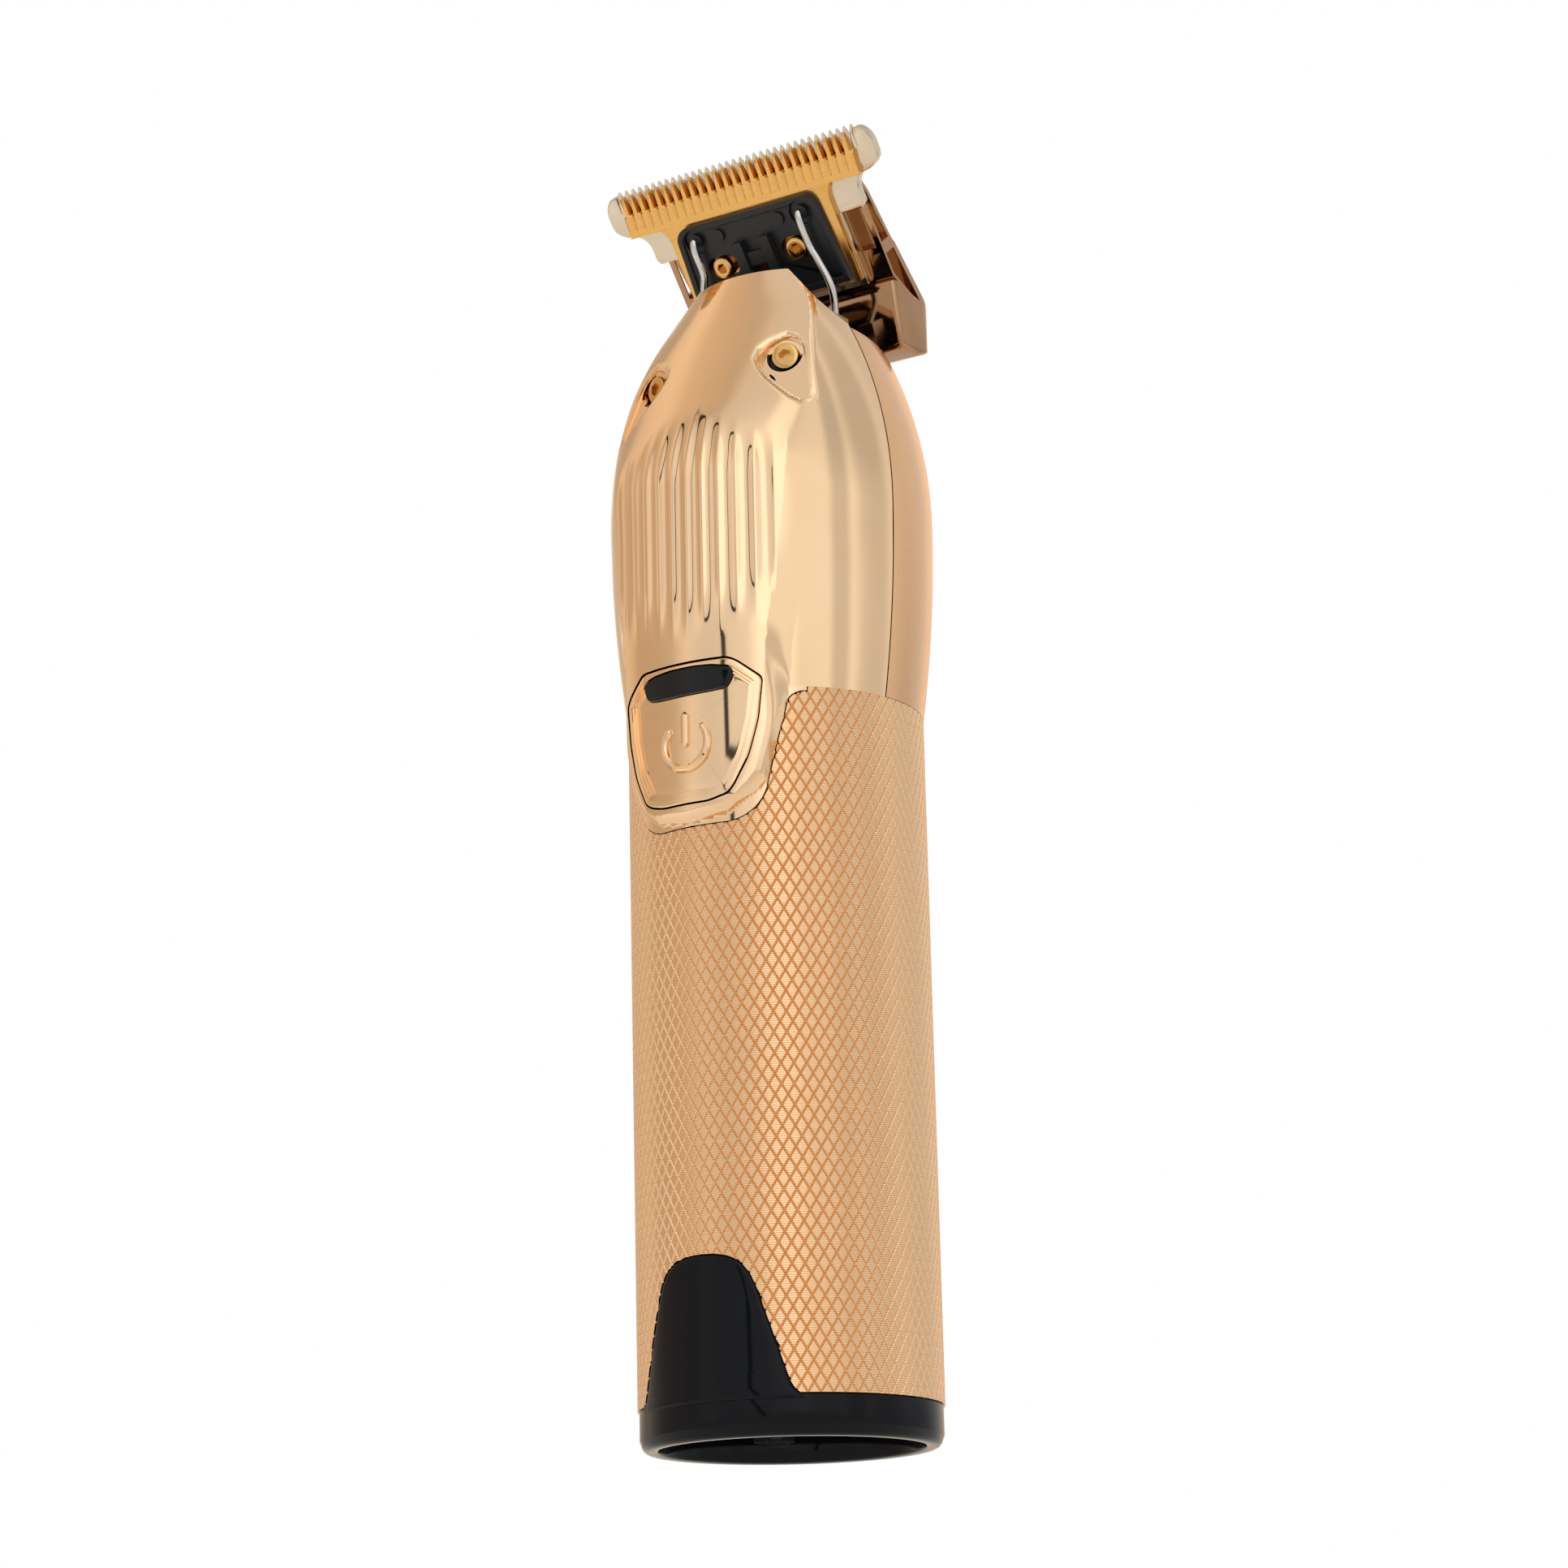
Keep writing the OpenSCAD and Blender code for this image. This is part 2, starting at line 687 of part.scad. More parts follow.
module moving_blade() {
    half = cutter_w / 2;
    shoulder_y = 6.0;
    slot = throw + 0.15;
    color(blade_gold) blade_frame() difference() {
        translate([0, 0, cutter_z]) linear_extrude(cutter_t) polygon(concat(
            [[half, root_y - 0.4], [half, shoulder_y]],
            arc_pts([stem_half + 3, 3], 3, 90, 180, 5),
            [[stem_half, -8.5], [-stem_half, -8.5]],
            arc_pts([-stem_half - 3, 3], 3, 0, 90, 5),
            [[-half, shoulder_y], [-half, root_y - 0.4]],
            [for (p = comb(half, cutter_teeth, cutter_tip_y, cutter_root_y, 0.4)) [-p[0], p[1]]]));
        for (x = [-blade_screw_x, blade_screw_x])
            translate([x, 0, cutter_z - 1]) linear_extrude(4) union() {
                translate([0, blade_screw_y]) circle(r = blade_screw_head_d / 2 + slot);
                translate([-blade_screw_head_d / 2 - slot, -far])
                    square([blade_screw_head_d + 2 * slot, far + blade_screw_y]);
            }
        for (x = [-rivet_x, rivet_x])
            translate([x, rivet_y, cutter_z - 1]) cylinder(r = 0.9, h = 4);
    }
}

module blade_carrier() {
    slot = throw + 0.15;
    outer = mirrored(concat([[carrier_half + 0.7, -7.9]], arc_pts([carrier_half - 2, 2.8], 2, 5, 90, 6)));
    inner = grown(outer, [0, -1.5], -1.3);
    yoke_side = [[1.2, carrier_z], [1.2, carrier_top + 0.3], [-3.2, carrier_top + 1.9],
        [-7, 9], [-10.5, 9], [-10.5, 5], [-7.5, carrier_z]];
    color(black) blade_frame() difference() {
        union() {
            translate([0, 0, carrier_z]) linear_extrude(carrier_t * 0.6) polygon(outer);
            translate([0, 0, carrier_z]) linear_extrude(carrier_t) polygon(inner);
            for (s = [-1, 1])
                translate([s * (yoke_half + yoke_wall / 2), 0, 0]) across(yoke_side, yoke_wall);
            translate([-yoke_half - 0.5, -2.4, carrier_z]) cube([2 * yoke_half + 1, 1.9, carrier_t + 1]);
        }
        for (x = [-blade_screw_x, blade_screw_x])
            translate([x, 0, carrier_z - 1]) linear_extrude(8) union() {
                translate([0, blade_screw_y]) circle(r = blade_screw_head_d / 2 + slot);
                translate([-blade_screw_head_d / 2 - slot, -far])
                    square([blade_screw_head_d + 2 * slot, far + blade_screw_y]);
            }
        for (x = [-rivet_x, rivet_x])
            translate([x, rivet_y, carrier_z - 1]) cylinder(r = 0.9, h = 4);
        for (x = [-hook_x, hook_x])
            translate([x, hook_y, carrier_z + 0.3]) cylinder(r = wire_d / 2 + 0.3, h = 4);
        translate([-yoke_half, -far - 2.4, carrier_z - 1]) cube([2 * yoke_half, far, 20]);
    }
}

module carrier_rivets() {
    color(black) blade_frame() for (x = [-rivet_x, rivet_x])
        translate([x, rivet_y, cutter_z]) cylinder(r = 0.9, h = cutter_t + carrier_t + 0.1);
}

module blade_screws() {
    color(gold) blade_frame() for (x = [-blade_screw_x, blade_screw_x])
        translate([x, blade_screw_y, fixed_top]) screw(blade_screw_head_d / 2, carrier_top - fixed_top, 0.9, 4);
}

// Right or left arm of the spring: out of its hole in the carrier, up over it and back to the clamp
function spring_pts(s) =
    [[s * hook_x, hook_y, carrier_z + 0.5], [s * hook_x, hook_y, spring_h],
     [s * (hook_x + 0.1), -1.6, spring_h], [s * 9.2, -3.8, spring_h + 0.5],
     [s * 10.2, -7.6, spring_h + 1.6], [s * 9.2, -12.5, spring_h + 2.4]];

module tension_spring() {
    color(steel) blade_frame() for (s = [-1, 1]) lead(spring_pts(s), wire_d);
}

module spring_clamp() {
    z0 = z_motor + deck_t + frame_t;
    block = [2.6, 4.8, 8.6];
    color(steel) difference() {
        for (s = [-1, 1]) translate([s * 9.1 - block[0] / 2, -1, z0]) cube(block);
        translate([0, 0, z0 - 1]) cylinder(r = cam_r + 0.6, h = 12);
        blade_frame() for (s = [-1, 1]) lead([spring_pts(s)[4], spring_pts(s)[5]], wire_d + 0.1);
    }
}

module blade_bracket() {
    wide = 32;
    heel_r = 3.5;
    heel_back = 16.4;
    face = fixed_top - blade_t;
    wedge = [[4.6, face], [-9.5, face], [-14, -3.2], [-17.4, -6.1], [2, -2.6], [4.6, -1.6]];
    foot_z = z_motor + deck_t + frame_t;
    foot_half = bracket_screw_x + 2.2;
    color(gold) difference() {
        union() {
            intersection() {
                union() {
                    blade_frame() across(wedge, wide);
                    across([[6.3, z_blade - 7.3], [7.2, z_blade - 12], [8.4, foot_z + 5], [12.4, foot_z + 5],
                        [15.2, z_blade - 15.4], [16.4, z_blade - 12.8], [15.7, z_blade - 9.9],
                        [11.5, z_blade - 6.4]], wide - 1);
                }
                translate([0, 0, foot_z]) linear_extrude(far) union() {
                    translate([-wide / 2, -far]) square([wide, far + heel_back - heel_r]);
                    for (s = [-1, 1])
                        translate([s * (wide / 2 - heel_r), heel_back - heel_r]) circle(r = heel_r);
                    translate([-wide / 2 + heel_r, 0]) square([wide - 2 * heel_r, heel_back]);
                }
            }
            translate([-foot_half, bracket_screw_y - 2, foot_z])
                cube([2 * foot_half, 4, z_blade - 10 - foot_z]);
        }
        blade_frame() for (x = [-blade_screw_x, blade_screw_x])
            translate([x, blade_screw_y, -4]) cylinder(r = 0.9, h = 8);
        for (x = [-bracket_screw_x, bracket_screw_x])
            translate([x, bracket_screw_y, foot_z - 1]) cylinder(r = 1, h = 7);
    }
}

// ---- Button -----------------------------------------------------------------------------------

module power_button() {
    color(gold) difference() {
        intersection() {
            union() {
                translate([0, 0, tongue_z]) ring(r_button, r_button - 1.9, z_top + 6 - tongue_z);
                translate([0, -far / 2, z_button]) rotate([90, 0, 0])
                    cylinder(r = 2.2, h = far, center = true);
            }
            from_front(grown(button_pts, button_c, -button_gap));
            translate([0, 0, tongue_z]) cylinder(r = r_button, h = far);
        }
        from_front(lens_pts);
        translate([0, board_y - switch_h - 1.5, z_button]) rotate([-90, 0, 0]) cylinder(r = 3, h = 20);
    }
}

module indicator_lens() {
    color("#1c1d22") intersection() {
        translate([0, 0, z_top]) ring(r_button - 0.1, r_button - 1.7, 6);
        from_front(lens_pts);
    }
}

module switch_plunger() {
    color("#d8d8d8") translate([0, board_y - switch_h - 1.5, z_button]) rotate([-90, 0, 0])
        cylinder(r = plunger_r, h = 2.4);
}

base_cap();
socket_plate();
jack_housing();
jack_pin();
charge_board();
knurled_sleeve();
battery_holder();
battery_cell();
battery_tab_bottom();
battery_tab_top();
main_board();
tact_switch();
light_guide();
indicator_leds();
battery_leads();
motor_leads();
front_cover();
rear_cover();
cover_screws();
motor_can();
motor_magnets();
motor_endcap();
motor_terminals();
bush_front();
bush_rear();
motor_mount();
motor_screws();
head_frame();
bracket_screws();
rotor_shaft();
armature();
eccentric_cam();
drive_pin();
blade_bracket();
fixed_blade();
blade_screws();
tension_spring();
spring_clamp();
moving_blade();
blade_carrier();
carrier_rivets();
power_button();
indicator_lens();
switch_plunger();
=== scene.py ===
"""A gold cordless hair clipper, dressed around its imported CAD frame.

The housing is one radius function of angle and height, so that covers, button and tongue
agree with each other. Shapes are worked out in millimetres and stored in metres.
"""

import logging
import math
from dataclasses import dataclass
from enum import Enum
from typing import Callable, Iterable, Sequence

import bmesh
import bpy
import numpy as np
from mathutils import Matrix, Vector


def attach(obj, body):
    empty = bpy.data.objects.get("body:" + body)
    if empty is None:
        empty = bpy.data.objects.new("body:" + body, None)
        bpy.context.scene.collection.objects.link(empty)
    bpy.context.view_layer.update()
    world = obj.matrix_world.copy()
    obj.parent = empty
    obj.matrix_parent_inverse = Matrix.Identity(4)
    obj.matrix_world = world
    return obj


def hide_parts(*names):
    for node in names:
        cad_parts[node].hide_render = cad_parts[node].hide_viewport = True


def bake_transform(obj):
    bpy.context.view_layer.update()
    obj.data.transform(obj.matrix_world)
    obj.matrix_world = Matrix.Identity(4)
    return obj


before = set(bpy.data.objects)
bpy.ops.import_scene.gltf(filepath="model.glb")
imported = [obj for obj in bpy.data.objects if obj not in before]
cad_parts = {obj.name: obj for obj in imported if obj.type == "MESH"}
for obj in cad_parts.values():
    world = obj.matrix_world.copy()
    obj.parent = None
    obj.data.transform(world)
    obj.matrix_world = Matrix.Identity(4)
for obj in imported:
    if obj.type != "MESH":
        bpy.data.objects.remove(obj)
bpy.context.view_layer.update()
LOG = logging.getLogger("clipper")
MM = 0.001
Place = Callable[[np.ndarray, np.ndarray, float], np.ndarray]


class Body(Enum):
    """CAD bodies that a piece can ride on."""

    HANDLE = "handle"
    ROTOR = "rotor"
    BLADE = "blade"
    BUTTON = "button"


class Grain(Enum):
    """Surface patterns left by the way that a finish is made."""

    CLOUD = "cloud"
    TURNED = "turned"
    BRUSHED = "brushed"
    SPARK = "spark"


def linear(code: str) -> tuple[float, float, float, float]:
    """Turns an sRGB hex colour to linear.

    Args:
        code: Colour as RRGGBB.

    Returns:
        Linear red, green, blue and an alpha of one.
    """
    parts = [int(code[i:i + 2], 16) / 255 for i in (0, 2, 4)]
    parts = [p / 12.92 if p <= 0.04045 else ((p + 0.055) / 1.055) ** 2.4 for p in parts]
    return parts[0], parts[1], parts[2], 1.0


def add_node(tree: bpy.types.NodeTree, kind: str, inputs: dict | None = None, **settings) -> bpy.types.Node:
    """Adds a node with its settings and links.

    Args:
        tree: Tree that takes the node.
        kind: Blender's name of the node type.
        inputs: Values or output sockets by input name or number.
        settings: Attributes of the node.

    Returns:
        The new node.
    """
    node = tree.nodes.new(kind)
    for key, value in settings.items():
        setattr(node, key, value)
    for key, value in (inputs or {}).items():
        if isinstance(value, bpy.types.NodeSocket):
            tree.links.new(value, node.inputs[key])
        else:
            node.inputs[key].default_value = value
    return node


@dataclass(frozen=True)
class Finish:
    """A real surface: what it is made of and what its making leaves on it.

    Attributes:
        name: Maker's name of the finish.
        colour: Main sRGB colour.
        shade: Second sRGB colour, in the low places of the pattern.
        metallic: One for a metal.
        rough: Lowest and highest roughness.
        grain: Pattern of the surface.
        pitch: Size of the pattern in millimetres.
        depth: Height of the pattern in millimetres.
        coat: Weight of a clear gloss layer.
        clear: Transmission weight.
        gloss: Specular level, a half for an index of 1.5.
    """

    name: str
    colour: str
    shade: str
    metallic: float
    rough: tuple[float, float]
    grain: Grain
    pitch: float
    depth: float
    coat: float = 0.0
    clear: float = 0.0
    gloss: float = 0.5

    def pattern(self, tree: bpy.types.NodeTree) -> bpy.types.NodeSocket:
        """Adds the nodes of the surface pattern.

        Args:
            tree: Material tree.

        Returns:
            A factor between zero and one.
        """
        place = add_node(tree, "ShaderNodeTexCoord").outputs["Object"]
        per = 1 / (self.pitch * MM)
        if self.grain is Grain.TURNED:
            wave = add_node(tree, "ShaderNodeTexWave", {"Vector": place, "Scale": per * math.pi / 10,
                            "Distortion": 0.6, "Detail": 1.0, "Detail Scale": 3.0}, bands_direction="Z")
            return wave.outputs["Fac"]
        stretch = (1.0, 1.0, 1.0) if self.grain is not Grain.BRUSHED else (0.04, 1.0, 1.0)
        place = add_node(tree, "ShaderNodeMapping", {"Vector": place, "Scale": stretch}).outputs[0]
        detail = 6.0 if self.grain is Grain.SPARK else 2.0
        noise = add_node(tree, "ShaderNodeTexNoise", {"Vector": place, "Scale": per, "Detail": detail})
        return noise.outputs["Fac"]

    def build(self) -> bpy.types.Material:
        """Makes the material once, and returns it each time.

        Returns:
            The material, which is made once for each finish.
        """
        made = bpy.data.materials.get(self.name)
        if made:
            return made
        made = bpy.data.materials.new(self.name)
        made.use_nodes = True
        tree = made.node_tree
        tree.nodes.clear()
        factor = self.pattern(tree)
        mix = add_node(tree, "ShaderNodeMix", {0: factor, 6: linear(self.shade), 7: linear(self.colour)},
                       data_type="RGBA")
        rough = add_node(tree, "ShaderNodeMapRange", {0: factor, 3: self.rough[1], 4: self.rough[0]})
        bump = add_node(tree, "ShaderNodeBump", {"Height": factor, "Strength": 1.0,
                                                 "Distance": self.depth * MM})
        shader = add_node(tree, "ShaderNodeBsdfPrincipled", {
            "Base Color": mix.outputs[2], "Roughness": rough.outputs[0], "Normal": bump.outputs[0],
            "Metallic": self.metallic, "Coat Weight": self.coat, "Coat Roughness": 0.04,
            "Transmission Weight": self.clear, "Specular IOR Level": self.gloss})
        add_node(tree, "ShaderNodeOutputMaterial", {"Surface": shader.outputs[0]})
        made.diffuse_color = linear(self.colour)
        return made


# Electroplated champagne gold over polished metal: a mirror with a faint orange peel.
MIRROR_GOLD = Finish("polished_gold_plate", "EECCA6", "E8C49A", 1.0, (0.05, 0.08), Grain.CLOUD, 9, 0.0006)
# The same plate, blasted before plating: a soft satin gloss.
SATIN_GOLD = Finish("satin_gold_plate", "E7BA8E", "DDAE80", 1.0, (0.2, 0.27), Grain.SPARK, 0.5, 0.0012)
# Anodised aluminium, turned before it is knurled: fine rings on each diamond.
KNURL_GOLD = Finish("knurled_gold_anodised_aluminium", "EDC79E", "DDB285", 1.0, (0.2, 0.32), Grain.TURNED,
                    0.28, 0.022)
# Titanium nitride on ground steel: deep yellow, brushed along the teeth.
NITRIDE = Finish("titanium_nitride_steel", "E9BB72", "D29C52", 1.0, (0.16, 0.28), Grain.BRUSHED, 0.12, 0.002)
# Ground and polished blade steel with a thin gold coat.
BLADE_STEEL = Finish("polished_gold_blade_steel", "DCD0BE", "CBB99C", 1.0, (0.1, 0.2), Grain.BRUSHED, 0.12,
                     0.001)
# The bracket's gold plate with painted shade: darkened to a deeper bronze to stand for the dark reflections
# and the cutter's shadow on its walls.
SHADED_BRACKET_GOLD = Finish("gold_plate_painted_shade", "B08A68", "A37C5A", 1.0, (0.06, 0.1), Grain.CLOUD, 6, 0.0008)
# Gold plate over machined screw steel: bright rims and a slightly uneven tone.
SCREW_GOLD = Finish("gold_plated_screw_steel", "E2B878", "C99A58", 1.0, (0.12, 0.24), Grain.CLOUD, 0.6, 0.002)
# ABS from a polished mould: deep black with a clean, narrow gloss.
GLOSS_BLACK = Finish("gloss_black_abs", "0B0D12", "08090D", 0.0, (0.06, 0.1), Grain.CLOUD, 4, 0.0006,
                     gloss=0.14)
# The same black ABS, painted lighter as charcoal to stand for light that reaches into the recess, so that the
# posts there can be told apart.
GLOSS_ABS_PAINTED_LIGHT = Finish("gloss_abs_painted_light", "26292B", "1E2123", 0.0, (0.05, 0.09), Grain.CLOUD, 4, 0.0006,
                    gloss=0.6)
# Moulded nylon with a spark-eroded grain: soft, broad highlights.
SATIN_BLACK = Finish("satin_black_nylon", "1D1E20", "161719", 0.0, (0.34, 0.46), Grain.SPARK, 0.35, 0.004,
                     gloss=0.35)
# Drawn spring wire: bright along its length, with fine draw marks.
SPRING_STEEL = Finish("bright_spring_wire", "D9D8D6", "B9B8B7", 1.0, (0.12, 0.22), Grain.BRUSHED, 0.2, 0.001)
# Turned steel: fine rings and a cool grey gloss.
STEEL = Finish("turned_steel", "C9C8C6", "A9A8A6", 1.0, (0.2, 0.32), Grain.TURNED, 0.3, 0.002)
# Nickel over drawn steel: a warm grey, cloudy mirror.
NICKEL = Finish("nickel_plated_steel", "CFC9BD", "B9B3A8", 1.0, (0.14, 0.24), Grain.CLOUD, 2, 0.001)
# Machined brass: yellow, with fine turning rings.
BRASS = Finish("machined_brass", "D9AE57", "B98B3C", 1.0, (0.18, 0.3), Grain.TURNED, 0.25, 0.003)
# Enamelled wire in close turns: ribbed and red-brown.
COPPER = Finish("enamelled_copper_wire", "C46A3A", "8F4322", 1.0, (0.25, 0.4), Grain.TURNED, 0.3, 0.03)
# Sintered ferrite: matt, dark and grainy.
MAGNET = Finish("sintered_ferrite", "3A3B3E", "2A2B2E", 0.0, (0.5, 0.7), Grain.SPARK, 0.3, 0.005)
# Solder mask on a glass-fibre board: green under a thin clear gloss.
BOARD = Finish("solder_mask_board", "1F5A36", "174429", 0.0, (0.25, 0.4), Grain.SPARK, 0.5, 0.003, coat=0.3)
# Shrunk PVC sleeve on the cell: blue, glossy and slightly wavy.
WRAP = Finish("shrunk_cell_wrap", "2F6FB0", "285F98", 0.0, (0.25, 0.35), Grain.CLOUD, 3, 0.004, coat=0.3)
# Moulded acetal: milky white, with a low sheen.
WHITE = Finish("moulded_white_acetal", "E8E8E4", "DDDDD8", 0.0, (0.3, 0.42), Grain.SPARK, 0.4, 0.003)
# Clear moulded acrylic: see-through, with sharp edges of light.
CLEAR = Finish("clear_acrylic", "F4F6F6", "ECEFEF", 0.0, (0.05, 0.1), Grain.CLOUD, 3, 0.0005, clear=0.9)
# Epoxy over a lamp: milky and half clear.
LAMP = Finish("lamp_epoxy", "F1F1E8", "E2E2D6", 0.0, (0.15, 0.25), Grain.CLOUD, 1, 0.001, clear=0.3)
# Insulation on the leads: red and slightly matt.
LEAD = Finish("red_lead_insulation", "B5231F", "951A17", 0.0, (0.35, 0.5), Grain.SPARK, 0.3, 0.003)
# Smoked polycarbonate: nearly black, with a hard gloss.
LENS = Finish("smoked_polycarbonate", "0E0F12", "0A0B0D", 0.0, (0.04, 0.07), Grain.CLOUD, 3, 0.0003,
              gloss=0.25)
# Painted backdrop: plain, pale and matt.
FLOOR = Finish("painted_backdrop", "F4F4F3", "F0F0EF", 0.0, (0.6, 0.7), Grain.CLOUD, 60, 0.01)

NODE_FINISH: dict[Finish, tuple[str, ...]] = {
    SATIN_BLACK: ("jack_housing", "battery_holder", "tact_switch", "motor_mount", "head_frame",
                  "carrier_rivets"),
    BRASS: ("jack_pin", "motor_terminals", "bush_front", "bush_rear"),
    BOARD: ("charge_board", "main_board"),
    WRAP: ("battery_cell",),
    NICKEL: ("battery_tab_bottom", "battery_tab_top", "motor_can"),
    CLEAR: ("light_guide",),
    LAMP: ("indicator_leds",),
    LEAD: ("battery_leads", "motor_leads"),
    MAGNET: ("motor_magnets",),
    WHITE: ("motor_endcap", "eccentric_cam", "switch_plunger"),
    STEEL: ("motor_screws", "bracket_screws", "spring_clamp", "rotor_shaft", "drive_pin"),
    COPPER: ("armature",),
}


def make_object(name: str, points: np.ndarray, faces: Iterable[Sequence[int]]) -> bpy.types.Object:
    """Makes a mesh object from points in millimetres.

    Args:
        name: Name of the piece.
        points: Array of x, y, z.
        faces: Point numbers of each face.

    Returns:
        The object, linked to the scene.
    """
    mesh = bpy.data.meshes.new(name)
    mesh.from_pydata((np.asarray(points, float) * MM).tolist(), [], [list(f) for f in faces])
    piece = bpy.data.objects.new(name, mesh)
    bpy.context.scene.collection.objects.link(piece)
    return piece


def mend(piece: bpy.types.Object, merge: float = 1e-3) -> bpy.types.Object:
    """Merges double points and turns every face outwards.

    Args:
        piece: Closed mesh object.
        merge: Distance in millimetres.

    Returns:
        The same object.
    """
    bm = bmesh.new()
    bm.from_mesh(piece.data)
    bmesh.ops.remove_doubles(bm, verts=bm.verts, dist=merge * MM)
    bmesh.ops.dissolve_degenerate(bm, edges=bm.edges, dist=1e-8)
    bmesh.ops.recalc_face_normals(bm, faces=bm.faces)
    bm.to_mesh(piece.data)
    bm.free()
    return piece


def bake(piece: bpy.types.Object) -> bpy.types.Object:
    """Applies an object's modifiers as a plain mesh."""
    graph = bpy.context.evaluated_depsgraph_get()
    mesh = bpy.data.meshes.new_from_object(piece.evaluated_get(graph), depsgraph=graph)
    piece.modifiers.clear()
    piece.data = mesh
    return piece


def carve(piece: bpy.types.Object, tool: bpy.types.Object, operation: str = "DIFFERENCE") -> bpy.types.Object:
    """Cuts or joins two closed meshes, and removes the second.

    Args:
        piece: Mesh that is kept.
        tool: Mesh that is used up.
        operation: DIFFERENCE, UNION or INTERSECT.

    Returns:
        The first object.
    """
    before = len(piece.data.polygons)
    cut = piece.modifiers.new("cut", "BOOLEAN")
    cut.operation, cut.object, cut.solver = operation, tool, "MANIFOLD"
    bake(piece)
    if not piece.data.polygons:
        LOG.warning("%s is empty after %s with %s (%d faces before)", piece.name, operation, tool.name,
                    before)
    bpy.data.objects.remove(tool)
    return piece


def smooth(piece: bpy.types.Object, angle: float = 35) -> bpy.types.Object:
    """Shades a piece smooth, with edges sharper than an angle in degrees left sharp."""
    piece.data.shade_smooth()
    piece.data.set_sharp_from_angle(angle=math.radians(angle))
    return piece


def settle(piece: bpy.types.Object, finish: Finish, body: Body, slot: str, *nodes: str) -> bpy.types.Object:
    """Gives a finished piece its material, its body and the CAD nodes that it stands for.

    Args:
        piece: Finished mesh object.
        finish: Its surface.
        body: CAD body that it rides on.
        slot: Material slot of the record; not used.
        nodes: CAD nodes that it replaces.

    Returns:
        The same object.
    """
    piece.data.materials.clear()
    piece.data.materials.append(finish.build())
    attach(piece, body.value)
    if nodes:
        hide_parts(*nodes)
    LOG.info("%s: %d faces on %s", piece.name, len(piece.data.polygons), body.value)
    return piece


def grid_faces(rows: int, cols: int, start: int = 0, flip: bool = False,
               ring: bool = False) -> list[list[int]]:
    """Lists the faces of a grid of points.

    Args:
        rows: Number of rows.
        cols: Number of columns.
        start: Number of the first point.
        flip: Whether faces point the other way.
        ring: Whether the last column joins the first.

    Returns:
        Faces as lists of point numbers.
    """
    faces = []
    for i in range(rows - 1):
        for j in range(cols if ring else cols - 1):
            k = (j + 1) % cols
            face = [start + i * cols + j, start + i * cols + k, start + (i + 1) * cols + k,
                    start + (i + 1) * cols + j]
            faces.append(face[::-1] if flip else face)
    return faces


def shell(name: str, outer: np.ndarray, inner: np.ndarray) -> bpy.types.Object:
    """Closes two matching grids into a wall.

    Args:
        name: Name of the piece.
        outer: Rows by columns by three, seen from outside.
        inner: The same for the inner side.

    Returns:
        A closed mesh object.
    """
    rows, cols = outer.shape[:2]
    size = rows * cols
    faces = grid_faces(rows, cols) + grid_faces(rows, cols, size, flip=True)
    rim = [j for j in range(cols)] + [i * cols + cols - 1 for i in range(1, rows)]
    rim += [(rows - 1) * cols + j for j in range(cols - 2, -1, -1)] + [i * cols for i in range(rows - 2, 0,
            -1)]
    for a, b in zip(rim, rim[1:] + rim[:1]):
        faces.append([b, a, a + size, b + size])
    return mend(make_object(name, np.concatenate([outer.reshape(-1, 3), inner.reshape(-1, 3)]), faces))


def revolve(name: str, profile: Sequence[tuple[float, float]], steps: int = 128) -> bpy.types.Object:
    """Turns a closed profile of radius and height about the long axis.

    Args:
        name: Name of the piece.
        profile: Closed outline of radius and height.
        steps: Number of steps in a full turn.

    Returns:
        A closed mesh object.
    """
    turn = np.linspace(0, 2 * math.pi, steps, endpoint=False)
    rows = [[(r * math.sin(a), -r * math.cos(a), z) for a in turn] for r, z in profile]
    points = np.array(rows).reshape(-1, 3)
    faces = grid_faces(len(profile), steps, ring=True)
    last = (len(profile) - 1) * steps
    faces += [[last + j, last + (j + 1) % steps, (j + 1) % steps, j] for j in range(steps)]
    return mend(make_object(name, points, faces))


def arc(centre: tuple[float, float], r: float, a0: float, a1: float, steps: int) -> list[tuple[float, float]]:
    """Lists points on an arc from one angle to another, in degrees."""
    turn = np.radians(np.linspace(a0, a1, steps + 1))
    return [(centre[0] + r * math.cos(a), centre[1] + r * math.sin(a)) for a in turn]


def mirrored(half: Sequence[tuple[float, float]]) -> np.ndarray:
    """Completes the right half of an outline with its mirror image."""
    left = [(-x, y) for x, y in reversed(half) if abs(x) > 1e-6]
    return np.array(list(half) + left)


def resample(outline: np.ndarray, spacing: float, rounds: int = 0) -> np.ndarray:
    """Rounds the corners of a closed outline and spreads its points evenly.

    Args:
        outline: Closed outline.
        spacing: Distance between points.
        rounds: How many times corners are cut.

    Returns:
        The new outline.
    """
    pts = np.asarray(outline, float)
    for _ in range(rounds):
        nxt = np.roll(pts, -1, 0)
        pts = np.stack([0.75 * pts + 0.25 * nxt, 0.25 * pts + 0.75 * nxt], 1).reshape(-1, 2)
    ring = np.vstack([pts, pts[:1]])
    run = np.concatenate([[0], np.cumsum(np.hypot(*np.diff(ring, axis=0).T))])
    at = np.linspace(0, run[-1], max(8, int(run[-1] / spacing)), endpoint=False)
    return np.stack([np.interp(at, run, ring[:, 0]), np.interp(at, run, ring[:, 1])], 1)


